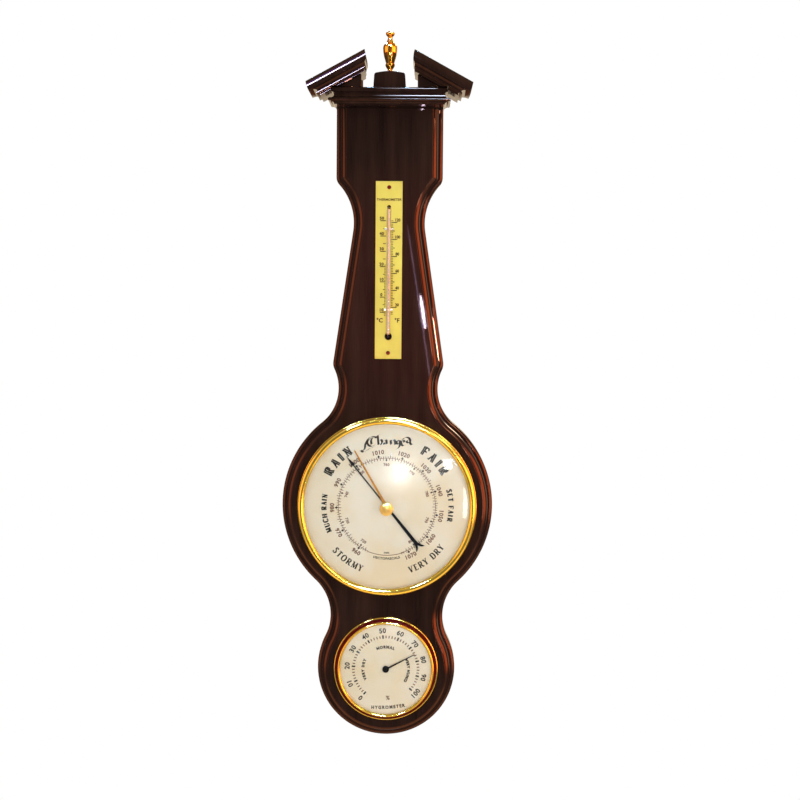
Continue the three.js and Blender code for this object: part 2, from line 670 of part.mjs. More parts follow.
// A bent strip over the tube with a foot on each side of it
function tubeClip() {
  const inner = TUBE_R + GAP;
  const outer = inner + CLIP_T;
  const base = plateFront + GAP;
  const foot = outer + CLIP_FOOT;
  const shape = new THREE.Shape();
  shape.moveTo(inner, base);
  shape.lineTo(foot, base);
  shape.lineTo(foot, base + CLIP_T);
  shape.lineTo(outer, base + CLIP_T);
  shape.lineTo(outer, tubeH);
  shape.absarc(0, tubeH, outer, 0, Math.PI, false);
  shape.lineTo(-outer, base + CLIP_T);
  shape.lineTo(-foot, base + CLIP_T);
  shape.lineTo(-foot, base);
  shape.lineTo(-inner, base);
  shape.lineTo(-inner, tubeH);
  shape.absarc(0, tubeH, inner, Math.PI, 0, true);
  const g = new THREE.ExtrudeGeometry(shape, { depth: CLIP_W, bevelEnabled: false, curveSegments: 8 });
  return welded(g.scale(1, -1, 1));
}
CLIP_UPS.forEach((up, i) => {
  place(`tube_clip_${['upper', 'lower'][i]}`, tubeClip().translate(0, 0, up - CLIP_W / 2), BRASS);
});

function escutcheonPin() {
  const seat = plateFront + GAP;
  return turned([[0, BOARD_T - PIN_L + 2 * GAP], [PIN_R, BOARD_T - PIN_L + 1], [PIN_R, seat],
    [PIN_HEAD_R, seat], [PIN_HEAD_R * 0.8, seat + PIN_HEAD_H * 0.7], [0, seat + PIN_HEAD_H]],
  FLATS_SMALL);
}
pinUps.forEach((z, i) => {
  place(`plate_pin_${['upper', 'lower'][i]}`, escutcheonPin().translate(0, 0, z), BRASS);
});

// Barometer, about the origin of its own group
const flangeBack = BOARD_T + GAP;
const flangeFront = flangeBack + PAN_WALL;
const dialBack = flangeFront + GAP;
const dialFront = dialBack + DIAL_T;
const panR = BARO_BORE_R - GAP - 0.2;

function barometerPan() {
  const inner = panR - PAN_WALL;
  const floor = PAN_BACK + PAN_WALL;
  const pan = turned([[0, PAN_BACK], [panR, PAN_BACK], [panR, flangeBack], [PAN_FLANGE_R, flangeBack],
    [PAN_FLANGE_R, flangeFront], [inner, flangeFront], [inner, floor], [0, floor]], FLATS_LARGE);
  return cut(pan,
    disc(ADJUST_HEAD_R + GAP, 0, floor + 1, FLATS).translate(adjust.x, 0, adjust.z),
    ...panScrews.map(([x, z]) => screwHole(x, z, BOARD_T, dialFront)),
    ...panScrews.map(([x, z]) => disc(SCREW_HEAD_R + GAP, flangeFront - SCREW_HEAD_T / 2 - GAP,
      dialFront, FLATS_SMALL).translate(x, 0, z)));
}

const bracketX = CAPSULE_X - CAPSULE_R - GAP - BRACKET_T / 2;
const adjust = { x: bracketX, z: CAPSULE_Z };
place('barometer_pan', barometerPan(), TINPLATE);
panScrews.forEach(([x, z], i) => {
  place(`pan_screw_${i + 1}`,
    screw(flangeFront, flangeFront - SCREW_L).translate(x, 0, z), STEEL);
});
place('barometer_dial', washer(DIAL_HOLE_R, BARO_DIAL_R, dialBack, dialFront, FLATS_LARGE), CARD);

// Bezel: outer bead, groove, round band, and a lip over the glass
function barometerBezel() {
  const seat = BOARD_T + GLASS_SEAT + GLASS_T + GAP;
  const bandR = BEZEL_LIP_R + BEZEL_BAND_R;
  const bandH = seat + 0.2;
  const inner = BEZEL_R - BEZEL_FOOT;
  const steps = 5;
  const band = Array.from({ length: steps + 1 }, (_, i) => {
    const a = THREE.MathUtils.degToRad(-25 + (205 * i) / steps);
    return [bandR + BEZEL_BAND_R * Math.cos(a), bandH + BEZEL_BAND_R * Math.sin(a)];
  });
  return turnedRing([[inner, flangeBack], [BEZEL_R, flangeBack], [BEZEL_R, flangeBack + 1.5],
    [BEZEL_R - 0.5, flangeBack + 2.3], [BEZEL_R - 1.1, flangeBack + 2.5],
    [bandR + 1.9, flangeBack + 2.9], ...band, [BEZEL_LIP_R, seat], [inner, seat]], FLATS_LARGE);
}
place('barometer_bezel', barometerBezel(), BRASS);

// Domed glass of even thickness: a flat rim, then a spherical cap, with or without a centre hole
function domedGlass(rimR, domeR, seat, sag, holeR) {
  const sphereR = (domeR ** 2 + sag ** 2) / (2 * sag);
  const rise = (r) => Math.sqrt(sphereR ** 2 - r ** 2) - (sphereR - sag);
  const steps = 5;
  const radii = Array.from({ length: steps + 1 }, (_, i) => domeR + ((holeR - domeR) * i) / steps);
  const outside = [[rimR, seat + GLASS_T], ...radii.map((r) => [r, seat + GLASS_T + rise(r)])];
  const inside = [[rimR, seat], ...radii.map((r) => [r, seat + rise(r)])].reverse();
  const profile = [...inside, ...outside];
  return (holeR > 0 ? turnedRing : turned)(profile, FLATS_LARGE);
}
place('barometer_glass',
  domedGlass(GLASS_R, BEZEL_LIP_R - GAP, BOARD_T + GLASS_SEAT, GLASS_SAG, GLASS_HOLE_R), GLASS);

// Sprung wire ring, split at the bottom, that holds a glass in its bezel
function splitRing(outer, width, h0, h1) {
  const half = GLASS_RING_SPLIT / 2;
  const from = -Math.PI / 2 + half;
  const to = 1.5 * Math.PI - half;
  const shape = new THREE.Shape();
  shape.absarc(0, 0, outer, from, to, false);
  shape.absarc(0, 0, outer - width, to, from, true);
  return slab(shape, h0, h1 - h0, FLATS);
}
place('barometer_glass_ring',
  splitRing(GLASS_R, GLASS_RING_W, dialFront + GAP, BOARD_T + GLASS_SEAT - GAP), BRASS);

// Blued pointer: arrowhead, slim shaft, round hub and a forked tail, drawn along +z
function pointerShape() {
  const s = new THREE.Shape();
  const hubSide = 0.9;
  const hubRise = Math.sqrt(POINTER_HUB_R ** 2 - hubSide ** 2);
  const head = POINTER_TIP - POINTER_HEAD_L;
  s.moveTo(0, POINTER_TIP);
  s.lineTo(-0.5, POINTER_TIP - 4);
  s.lineTo(-2, head);
  s.lineTo(-0.5, head + 1.2);
  s.lineTo(-hubSide, hubRise);
  s.absarc(0, 0, POINTER_HUB_R, angleOf(-hubSide, hubRise), angleOf(-hubSide, -hubRise), false);
  s.lineTo(-1, -POINTER_TAIL + 8);
  s.quadraticCurveTo(-2, -POINTER_TAIL + 3, -4.6, -POINTER_TAIL);
  s.quadraticCurveTo(-1.6, -POINTER_TAIL + 1.2, 0, -POINTER_TAIL + 5);
  s.quadraticCurveTo(1.6, -POINTER_TAIL + 1.2, 4.6, -POINTER_TAIL);
  s.quadraticCurveTo(2, -POINTER_TAIL + 3, 1, -POINTER_TAIL + 8);
  s.lineTo(hubSide, -hubRise);
  s.absarc(0, 0, POINTER_HUB_R, angleOf(hubSide, -hubRise), angleOf(hubSide, hubRise), false);
  s.lineTo(0.5, head + 1.2);
  s.lineTo(2, head);
  s.lineTo(0.5, POINTER_TIP - 4);
  return s;
}

// Angle of a direction, between -90 and 270 degrees
function angleOf(x, z) {
  const a = Math.atan2(z, x);
  return a < -Math.PI / 2 - 1e-9 ? a + 2 * Math.PI : a;
}

function pierced(shape, r) {
  const hole = new THREE.Path();
  hole.absarc(0, 0, r, 0, 2 * Math.PI, true);
  shape.holes.push(hole);
  return shape;
}

// Clockwise turn seen from the front, of something drawn pointing up
const clockwise = (geometry, degrees) => geometry.rotateY(THREE.MathUtils.degToRad(degrees));

place('barometer_pointer', clockwise(slab(pierced(pointerShape(), ARBOR_R + GAP),
  POINTER_H, POINTER_T), POINTER_DEG), BLUED);

// Set hand, its collar and the outside knob on one stem through the glass
function setHandShape() {
  const s = new THREE.Shape();
  const root = 1.1;
  const rise = Math.sqrt(COLLAR_R ** 2 - root ** 2);
  s.moveTo(0, SET_HAND_L);
  s.lineTo(-0.5, SET_HAND_L - 1.5);
  s.lineTo(-root, rise);
  s.absarc(0, 0, COLLAR_R, angleOf(-root, rise), angleOf(root, rise) + 2 * Math.PI, false);
  s.lineTo(0.5, SET_HAND_L - 1.5);
  return s;
}
const setHandT = 0.5;
const glassInside = BOARD_T + GLASS_SEAT + GLASS_SAG;
const glassOutside = glassInside + GLASS_T;
place('set_hand', clockwise(slab(pierced(setHandShape(), SET_STEM_R + GAP), SET_HAND_H, setHandT),
  SET_HAND_DEG), BRASS);
place('set_hand_collar', washer(SET_STEM_R + GAP, COLLAR_R, SET_HAND_H + setHandT + GAP,
  glassInside - GAP), BRASS);
function setKnob() {
  const seat = glassOutside + GAP;
  const foot = SET_HAND_H - GAP;
  const top = seat + KNOB_H;
  return turned([[0, foot], [SET_STEM_R, foot], [SET_STEM_R, seat], [KNOB_R * 0.5, seat],
    [KNOB_R * 0.55, seat + 1.4], [KNOB_R * 0.92, seat + 2.2], [KNOB_R, seat + 3.6],
    [KNOB_R, top - 2], [KNOB_R * 0.86, top - 0.8], [KNOB_R * 0.5, top - 0.2], [0, top]], FLATS);
}
place('set_knob', setKnob(), BRASS);

// Aneroid movement
const baseBack = PAN_BACK + PAN_WALL + GAP;
const baseFront = baseBack + BASE_T;
place('base_plate', cut(disc(BASE_R, baseBack, baseFront, FLATS_LARGE),
  disc(ADJUST_R + GAP, 0, baseFront + 1, FLATS_SMALL).translate(adjust.x, 0, adjust.z),
  disc(ARBOR_R + GAP, 0, baseFront + 1, FLATS_SMALL)), BRASS);

// Vacuum capsule: a corrugated drum with a stud on its lid
const capsuleBack = baseFront + GAP;
const capsuleFront = capsuleBack + CAPSULE_T;
const studTop = capsuleFront + CAPSULE_STUD_H;
function capsule() {
  const ridges = [0.86, 0.72, 0.58, 0.44, 0.3];
  const depth = 0.6;
  const lid = ridges.map((k, i) => [CAPSULE_R * k, capsuleFront - (i % 2 ? 0 : depth)]);
  return turned([[0, capsuleBack], [CAPSULE_R, capsuleBack], [CAPSULE_R, capsuleFront], ...lid,
    [CAPSULE_STUD_R, capsuleFront - depth], [CAPSULE_STUD_R, studTop], [0, studTop]], FLATS)
    .translate(CAPSULE_X, 0, CAPSULE_Z);
}
place('aneroid_capsule', capsule(), NICKEL);

// Bracket beside the capsule, tapped for the adjusting screw, and the leaf spring on it
const bracketTop = studTop;
place('spring_bracket', cut(
  block(bracketX - BRACKET_T / 2, bracketX + BRACKET_T / 2, baseFront + GAP, bracketTop,
    CAPSULE_Z - BRACKET_W / 2, CAPSULE_Z + BRACKET_W / 2),
  disc(ADJUST_R + GAP, 0, bracketTop - 1, FLATS_SMALL).translate(adjust.x, 0, adjust.z)), STEEL);
const springBack = studTop + GAP;
const springFront = springBack + SPRING_T;
const springEnd = bracketX - BRACKET_T / 2 + SPRING_L;
place('main_spring', block(bracketX - BRACKET_T / 2, springEnd, springBack, springFront,
  CAPSULE_Z - SPRING_W / 2, CAPSULE_Z + SPRING_W / 2), STEEL);
place('adjusting_screw', turned([[0, PAN_BACK - 0.4], [ADJUST_HEAD_R, PAN_BACK - 0.4],
  [ADJUST_HEAD_R, PAN_BACK + 0.8], [ADJUST_R, PAN_BACK + 0.8], [ADJUST_R, bracketTop - 1 - GAP],
  [0, bracketTop - 1 - GAP]], FLATS_SMALL).translate(adjust.x, 0, adjust.z), BRASS);

// Main lever from the spring's free end, with the link that hangs from its tip
const leverH = springFront + GAP + LEVER_R;
const leverX = springEnd - LEVER_INSET;
const leverTip = ROCK_Z - ROCK_ARM_L + LINK_R;
place('main_lever', joined(
  bar([leverX, leverH, CAPSULE_Z], [leverX, leverH, leverTip], LEVER_R),
  block(leverX - LEVER_FOOT_W / 2, leverX + LEVER_FOOT_W / 2, springFront + GAP, leverH,
    CAPSULE_Z - LEVER_FOOT_L / 2, CAPSULE_Z + LEVER_FOOT_L / 2)), BRASS);
place('lever_link', bar([leverX, ROCK_H, ROCK_Z - ROCK_ARM_L],
  [leverX, leverH - LEVER_R - GAP, ROCK_Z - ROCK_ARM_L], LINK_R), STEEL);

// Rocking bar across the base plate: a short arm beside the link, a tall arm to the chain
const chainX = DRUM_R + CHAIN_R + GAP;
const chainH = DRUM_H + DRUM_T / 2;
const rockLeft = leverX - ROCK_END;
const rockRight = chainX + ROCK_END;
function rockingBar() {
  const armX = leverX + LINK_R + ROCK_ARM_R + GAP;
  const shaft = bar([rockLeft, ROCK_H, ROCK_Z], [rockRight, ROCK_H, ROCK_Z], ROCK_R);
  const shortArm = bar([armX, ROCK_H, ROCK_Z], [armX, ROCK_H, ROCK_Z - ROCK_ARM_L], ROCK_ARM_R);
  const tallArm = bar([chainX, ROCK_H, ROCK_Z], [chainX, chainH, ROCK_Z], ROCK_TALL_R);
  return joined(shaft, shortArm, tallArm);
}
place('rocking_bar', rockingBar(), BRASS);
for (const [word, x] of [['left', rockLeft + BEARING_T], ['right', rockRight - BEARING_T]]) {
  const post = block(x - BEARING_T / 2, x + BEARING_T / 2, baseFront + GAP, ROCK_H + BEARING_HALF,
    ROCK_Z - BEARING_HALF, ROCK_Z + BEARING_HALF);
  const bore = bar([x - BEARING_T, ROCK_H, ROCK_Z], [x + BEARING_T, ROCK_H, ROCK_Z], ROCK_R + GAP);
  place(`rocker_bearing_${word}`, cut(post, bore), BRASS);
}

// Pointer arbor with its chain drum, the chain, and the hairspring that takes up slack
place('pointer_arbor', turned([[0, PAN_BACK + PAN_WALL + GAP], [ARBOR_R, PAN_BACK + PAN_WALL + GAP],
  [ARBOR_R, DRUM_H], [DRUM_R, DRUM_H], [DRUM_R, DRUM_H + DRUM_T], [ARBOR_R, DRUM_H + DRUM_T],
  [ARBOR_R, POINTER_H + POINTER_T + 0.4], [0, POINTER_H + POINTER_T + 0.4]], FLATS_SMALL), STEEL);
place('drum_chain', bar([chainX, chainH, 0],
  [chainX, chainH, ROCK_Z - ROCK_TALL_R - GAP], CHAIN_R), STEEL);

// A flat strip wound as a spiral about the Y axis
function spiral(innerR, outerR, turns, h0, width, thickness) {
  const steps = turns * SPIRAL_STEPS;
  const rings = Array.from({ length: steps + 1 }, (_, i) => {
    const a = (2 * Math.PI * turns * i) / steps;
    const r = innerR + ((outerR - innerR) * i) / steps;
    const corner = (radius, h) => [radius * Math.cos(a), -h, radius * Math.sin(a)];
    return [corner(r, h0), corner(r + thickness, h0), corner(r + thickness, h0 + width),
      corner(r, h0 + width)];
  });
  return lofted(rings, QUAD_CAP);
}
const bridgeFront = BRIDGE_H + BRIDGE_T;
place('hairspring', spiral(ARBOR_R + GAP, HAIRSPRING_R, HAIRSPRING_TURNS,
  DRUM_H + DRUM_T + GAP, HAIRSPRING_W, HAIRSPRING_T), STEEL);

// Top bridge on two pillars carries the arbor's front bearing
place('arbor_bridge', cut(
  block(-BRIDGE_HALF, BRIDGE_HALF, BRIDGE_H, bridgeFront, -BRIDGE_W / 2, BRIDGE_W / 2),
  disc(ARBOR_R + GAP, BRIDGE_H - 1, bridgeFront + 1, FLATS_SMALL)), BRASS);
for (const [word, side] of [['left', -1], ['right', 1]]) {
  place(`bridge_pillar_${word}`, disc(PILLAR_R, baseFront + GAP, BRIDGE_H - GAP, FLATS_SMALL)
    .translate(side * (BRIDGE_HALF - PILLAR_R - 1), 0, 0), BRASS);
}

// Hygrometer, in its own group at the lower lobe's centre
const hygrometer = new THREE.Group();
hygrometer.position.z = -LOBE_SPACING;
heights.add(hygrometer);
const hygroCaseR = HYGRO_BORE_R - GAP - 0.1;
const hygroWall = 0.7;
const hygroFlangeFront = flangeBack + hygroWall;
const hygroDialBack = hygroFlangeFront + GAP;
const hygroDialFront = hygroDialBack + DIAL_T;

function hygrometerCase() {
  const back = HYGRO_BORE_BACK + GAP;
  const inner = hygroCaseR - hygroWall;
  const body = turned([[0, back], [hygroCaseR, back], [hygroCaseR, flangeBack],
    [HYGRO_FLANGE_R, flangeBack], [HYGRO_FLANGE_R, hygroFlangeFront], [inner, hygroFlangeFront],
    [inner, back + hygroWall], [0, back + hygroWall]], FLATS_LARGE);
  return cut(body, ...hygroScrews.map(([x, z]) => (
    screwHole(x, z + LOBE_SPACING, BOARD_T, hygroDialFront, HYGRO_PIN_R))));
}
place('hygrometer_case', hygrometerCase(), TINPLATE, hygrometer);
hygroScrews.forEach(([x, z], i) => {
  place(`hygrometer_case_screw_${i + 1}`, turned([[0, hygroFlangeFront],
    [HYGRO_PIN_R, hygroFlangeFront], [HYGRO_PIN_R, BOARD_T - SCREW_L + 2],
    [0, BOARD_T - SCREW_L + 1]],
  FLATS_SMALL).translate(x, 0, z + LOBE_SPACING), STEEL, hygrometer);
});
place('hygrometer_dial',
  washer(HYGRO_DIAL_HOLE_R, HYGRO_DIAL_R, hygroDialBack, hygroDialFront, FLATS_LARGE), CARD, hygrometer);

function hygrometerBezel() {
  const inner = HYGRO_BEZEL_R - HYGRO_BEZEL_FOOT;
  const seat = BOARD_T + HYGRO_GLASS_SEAT + GLASS_T + GAP;
  const top = BOARD_T + HYGRO_BEZEL_TOP;
  return turnedRing([[inner, flangeBack], [HYGRO_BEZEL_R, flangeBack],
    [HYGRO_BEZEL_R, flangeBack + 1.2], [HYGRO_BEZEL_R - 0.5, flangeBack + 1.9],
    [HYGRO_BEZEL_R - 1.2, flangeBack + 2.1], [HYGRO_BEZEL_R - 2.2, flangeBack + 3.2],
    [HYGRO_BEZEL_R - 3.2, top - 1.1], [HYGRO_BEZEL_R - 3.7, top - 0.2], [HYGRO_BEZEL_R - 4.4, top],
    [HYGRO_LIP_R + 0.5, top - 0.7], [HYGRO_LIP_R, seat + 0.5], [HYGRO_LIP_R, seat], [inner, seat]],
  FLATS_LARGE);
}
place('hygrometer_bezel', hygrometerBezel(), BRASS, hygrometer);
place('hygrometer_glass', domedGlass(HYGRO_GLASS_R, HYGRO_LIP_R - GAP,
  BOARD_T + HYGRO_GLASS_SEAT, HYGRO_GLASS_SAG, 0), GLASS, hygrometer);
place('hygrometer_glass_ring', splitRing(HYGRO_GLASS_R, GLASS_RING_W, hygroDialFront + GAP / 2,
  BOARD_T + HYGRO_GLASS_SEAT - GAP / 2), BRASS, hygrometer);

function hygrometerPointer() {
  const s = new THREE.Shape();
  s.moveTo(-0.35, HYGRO_POINTER_L);
  s.lineTo(-0.8, 0);
  s.lineTo(0.8, 0);
  s.lineTo(0.35, HYGRO_POINTER_L);
  const needle = slab(s, HYGRO_POINTER_H, 0.5);
  const hub = turned([[0, HYGRO_POINTER_H - 0.3], [HYGRO_HUB_R, HYGRO_POINTER_H - 0.3],
    [HYGRO_HUB_R, HYGRO_POINTER_H + 0.8], [HYGRO_HUB_R * 0.7, HYGRO_POINTER_H + 1.5],
    [0, HYGRO_POINTER_H + 1.7]], FLATS);
  return clockwise(joined(needle, hub), HYGRO_POINTER_DEG);
}
place('hygrometer_pointer', hygrometerPointer(), BLUED, hygrometer);
const hygroFloor = HYGRO_BORE_BACK + GAP + hygroWall;
place('hygrometer_arbor', disc(HYGRO_ARBOR_R, hygroFloor + GAP, HYGRO_POINTER_H - 2 * GAP,
  FLATS_SMALL), STEEL, hygrometer);
place('hygrometer_coil',
  spiral(HYGRO_ARBOR_R + GAP, COIL_R, COIL_TURNS, COIL_H, COIL_W, COIL_T), PAPER_METAL, hygrometer);

// Bridge over the coil: a strip on two legs that carries the arbor's front bearing
function hygrometerBridge() {
  const h0 = COIL_H + COIL_W + 1;
  const h1 = h0 + HYGRO_BRIDGE_T;
  const half = COIL_R + HYGRO_BRIDGE_REACH;
  const strip = block(-half, half, h0, h1, -HYGRO_BRIDGE_W / 2, HYGRO_BRIDGE_W / 2);
  const legs = [-1, 1].map((s) => (disc(HYGRO_LEG_R, hygroFloor + GAP, (h0 + h1) / 2, FLATS_SMALL)
    .translate(s * (half - HYGRO_LEG_R - GAP), 0, 0)));
  return cut(joined(strip, ...legs), disc(HYGRO_ARBOR_R + GAP, h0 - 1, h0 + 2, FLATS_SMALL));
}
place('hygrometer_bridge', hygrometerBridge(), BRASS, hygrometer);

export default station;
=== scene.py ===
"""Wall weather station: lacquered banjo case, thermometer, barometer and hygrometer.

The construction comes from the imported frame. This script dresses it: the case, its
mouldings, the brass, the glasses, the hands and the printed scales are surfaces worked
out with numpy, and every surface gets a procedural material.
"""

import json
import math

import bmesh
import bpy
import numpy as np
from bpy.props import FloatProperty, FloatVectorProperty, PointerProperty
from mathutils import Matrix, Vector


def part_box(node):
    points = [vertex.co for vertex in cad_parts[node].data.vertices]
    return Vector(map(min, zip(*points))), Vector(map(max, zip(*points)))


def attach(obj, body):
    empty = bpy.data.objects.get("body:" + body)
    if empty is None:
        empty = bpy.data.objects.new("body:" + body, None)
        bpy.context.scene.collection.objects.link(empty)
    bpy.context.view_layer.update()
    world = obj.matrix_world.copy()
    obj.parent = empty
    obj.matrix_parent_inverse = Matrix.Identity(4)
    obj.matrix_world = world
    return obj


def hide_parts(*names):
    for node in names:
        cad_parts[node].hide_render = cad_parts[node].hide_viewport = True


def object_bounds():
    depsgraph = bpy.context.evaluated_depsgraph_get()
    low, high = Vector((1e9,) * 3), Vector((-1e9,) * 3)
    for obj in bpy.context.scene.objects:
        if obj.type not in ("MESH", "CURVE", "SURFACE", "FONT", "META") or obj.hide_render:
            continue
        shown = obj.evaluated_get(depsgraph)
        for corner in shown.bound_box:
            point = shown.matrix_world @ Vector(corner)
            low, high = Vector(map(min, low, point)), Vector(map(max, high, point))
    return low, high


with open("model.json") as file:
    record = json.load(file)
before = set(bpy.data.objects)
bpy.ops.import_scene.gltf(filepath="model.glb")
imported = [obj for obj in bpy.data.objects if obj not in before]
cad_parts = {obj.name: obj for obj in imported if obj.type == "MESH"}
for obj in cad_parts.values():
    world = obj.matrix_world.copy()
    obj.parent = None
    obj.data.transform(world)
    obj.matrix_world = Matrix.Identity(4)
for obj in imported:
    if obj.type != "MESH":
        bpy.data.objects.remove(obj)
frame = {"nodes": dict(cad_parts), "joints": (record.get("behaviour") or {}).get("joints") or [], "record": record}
cad_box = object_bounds()

bl_info = {
    "name": "Weather station",
    "version": (1, 0, 0),
    "blender": (4, 5, 0),
    "location": "3D View > Sidebar > Weather station",
    "description": "Dresses a wall weather station with its case, brass, glass and scales",
    "category": "Add Mesh",
}

MM = 0.001
JOINTS = {joint["name"]: joint for joint in frame["joints"]}


def joint_centre(name):
    """Place of a joint's axis seen from the front, as (x, z)."""
    place = JOINTS[name]["pos_m"]
    return np.array([place[0], place[2]])


BAROMETER = joint_centre("pressure_pointer")
HYGROMETER = joint_centre("humidity_pointer")


def heights(node):
    """How far a node's back and front stand from the wall."""
    lo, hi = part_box(node)
    return -hi.y, -lo.y


def middle(node):
    """Centre of a node's box."""
    lo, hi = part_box(node)
    return (np.array(lo) + np.array(hi)) / 2


def linear(code):
    """An sRGB hex colour as linear red, green and blue."""
    parts = [int(code[i : i + 2], 16) / 255 for i in (1, 3, 5)]
    return tuple(c / 12.92 if c <= 0.04045 else ((c + 0.055) / 1.055) ** 2.4 for c in parts)


def tone(value):
    """A colour given as a hex code, or already linear, as an array."""
    return np.array(linear(value) if isinstance(value, str) else value)


def length(name, description, default):
    """A size, its default given in millimetres."""
    return FloatProperty(
        name=name, description=description, default=default * MM, min=0.0,
        subtype="DISTANCE", unit="LENGTH",
    )


def colour(name, description, code):
    return FloatVectorProperty(
        name=name, description=description, default=linear(code), size=3, min=0.0, max=1.0,
        subtype="COLOR",
    )


class CaseSizes(bpy.types.PropertyGroup):
    """Sizes of the wooden case."""

    upper_lobe: length("Barometer lobe", "Radius of the lobe behind the barometer", 90)
    lower_lobe: length("Hygrometer lobe", "Radius of the lobe behind the hygrometer", 59)
    lower_drop: length("Hygrometer lobe drop", "Lobe centre, down from the hygrometer's", 1.4)
    waist: length("Waist", "Radius of the hollow between the lobes", 41.5)
    neck_half: length("Neck", "Half width where the neck meets the upper lobe", 42.3)
    neck: length("Neck hollow", "Radius of the hollow above the upper lobe", 38)
    hip: length("Hip", "Radius of the corner above the neck hollow", 12)
    collar_half: length("Collar", "Half width at the narrowest place under the head", 30.1)
    collar: length("Collar hollow", "Radius of the hollow under the head", 48)
    collar_up: length("Collar height", "Narrowest place, up from the barometer's centre", 240)
    head_half: length("Head", "Half width of the head", 45)
    shoulder: length("Shoulder", "Radius of the head's lower corners", 9.4)
    thickness: length("Thickness", "Thickness of the board", 20)
    edge_side: length("Edge side", "Height of the plain side under the moulding", 8.5)
    edge_bead: length("Edge bead", "Radius of the outer bead", 3)
    edge_fillet: length("Edge fillet", "Width of the flat between bead and ovolo", 0.8)
    edge_width: length("Edge width", "Width of the whole moulding", 8.6)
    edge_step: length("Edge step", "Height of the step at the face", 0.7)


class FinishColours(bpy.types.PropertyGroup):
    """Colours of the finishes."""

    wood: colour("Wood", "Stained wood between the pores", "#33211b")
    wood_dark: colour("Wood grain", "Stained wood in the pores and late growth", "#1b110e")
    brass: colour("Brass", "Polished brass", "#ffd65c")
    plate: colour("Plate", "Satin brass sheet", "#ceae3a")
    card: colour("Dial card", "Coated card of the dials", "#fff3e8")
    card_warm: colour("Dial card, aged", "Warmer patches of the card", "#fae6cc")
    ink: colour("Ink", "Dark printing ink", "#1a0806")
    ink_scale: colour("Scale ink", "Brown ink of the fine scales", "#7a3a12")
    blued: colour("Blued steel", "Heat-blued hands", "#10131f")
    spirit: colour("Spirit", "Dyed spirit", "#c0aab0")


def sizes():
    return bpy.context.scene.station_case


def colours():
    return bpy.context.scene.station_colours


# Meshes


SMOOTH_ANGLE = math.radians(35)
BEVEL_ANGLE = math.radians(40)


def shaded(mesh):
    mesh.shade_smooth()
    mesh.set_sharp_from_angle(angle=SMOOTH_ANGLE)


def new_object(name, verts, faces):
    """A mesh object at the origin from a vertex array and a face array or list."""
    mesh = bpy.data.meshes.new(name)
    mesh.from_pydata(np.asarray(verts, dtype=float).tolist(), [], [list(map(int, f)) for f in faces])
    obj = bpy.data.objects.new(name, mesh)
    bpy.context.scene.collection.objects.link(obj)
    shaded(mesh)
    mesh.validate()
    return obj


# The finishes of each slot in the record: the first one is the slot's own.
SLOT_FINISHES = {
    "lacquered_wood": ("wood", "wood_thin"),
    "polished_brass": ("brass", "cast_brass", "gilt", "gilt_wire", "copper", "groove"),
    "satin_brass": ("plate", "ink_plate"),
    "steel": ("steel",),
    "tinplate": ("tinplate",),
    "blued_steel": ("blued",),
    "nickel_silver": ("nickel",),
    "dial_card": ("card", "ink", "ink_scale"),
    "hygro_coil": ("strip",),
    "red_spirit": ("spirit", "bulb"),
    "glass": ("glass", "opal"),
}
MATERIALS = {}


def finish_piece(obj, finish, *nodes, body="case"):
    """Gives a piece its material and body, and hides the nodes it stands for."""
    obj.data.materials.clear()
    obj.data.materials.append(MATERIALS[finish])
    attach(obj, body)
    if nodes:
        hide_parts(*nodes)


def wrap_faces(rows, columns, close_rows=False, close_columns=False):
    """Quads of a grid of points numbered row by row, closed round where asked."""
    i = np.arange(rows if close_rows else rows - 1)[:, None]
    j = np.arange(columns if close_columns else columns - 1)[None, :]
    ni, nj = (i + 1) % rows, (j + 1) % columns
    a, b, c, d = ((u * columns + v).ravel() for u, v in ((i, j), (i, nj), (ni, nj), (ni, j)))
    return np.stack([a, b, c, d], axis=1)


def closed_faces(rows, columns):
    """Faces of a tube of rows, each a closed ring of points, with both ends filled."""
    last = (rows - 1) * columns
    sides = wrap_faces(rows, columns, close_columns=True).tolist()
    return [*sides, list(range(columns)), list(range(last, last + columns))]


def swept(name, profile, place, segments, closed=False):
    """A surface of revolution: each (radius r, height h) of the profile goes round an axis.

    At angle a, place puts r cos a, r sin a and h in space. Points of radius 0 are one point.
    """
    profile = np.asarray(profile, dtype=float)
    angle = np.linspace(0, 2 * np.pi, segments, endpoint=False)[:, None]
    r, h = profile[None, :, 0], profile[None, :, 1] + 0 * angle
    grid = np.stack(place(r * np.cos(angle), r * np.sin(angle), h), axis=-1)
    faces = wrap_faces(segments, len(profile), close_rows=True, close_columns=closed)
    return welded(new_object(name, grid.reshape(-1, 3), faces))


def turned(name, profile, centre, segments=128, closed=False):
    """A turned piece whose axis stands out from the wall: h is the height from the wall."""
    return swept(
        name, profile, lambda c, s, h: (centre[0] + s, -h, centre[1] + c), segments, closed
    )


def upright(name, profile, base):
    """A turned piece whose axis stands upright on a base: h is the height over it."""
    return swept(name, profile, lambda c, s, h: (base[0] + c, base[1] + s, base[2] + h), 64)


def welded(obj):
    """Merges points that coincide, drops empty faces and turns all faces outward."""
    work = bmesh.new()
    work.from_mesh(obj.data)
    bmesh.ops.remove_doubles(work, verts=work.verts, dist=1e-7)
    bmesh.ops.dissolve_degenerate(work, edges=work.edges, dist=1e-8)
    bmesh.ops.recalc_face_normals(work, faces=work.faces)
    work.to_mesh(obj.data)
    work.free()
    shaded(obj.data)
    return obj


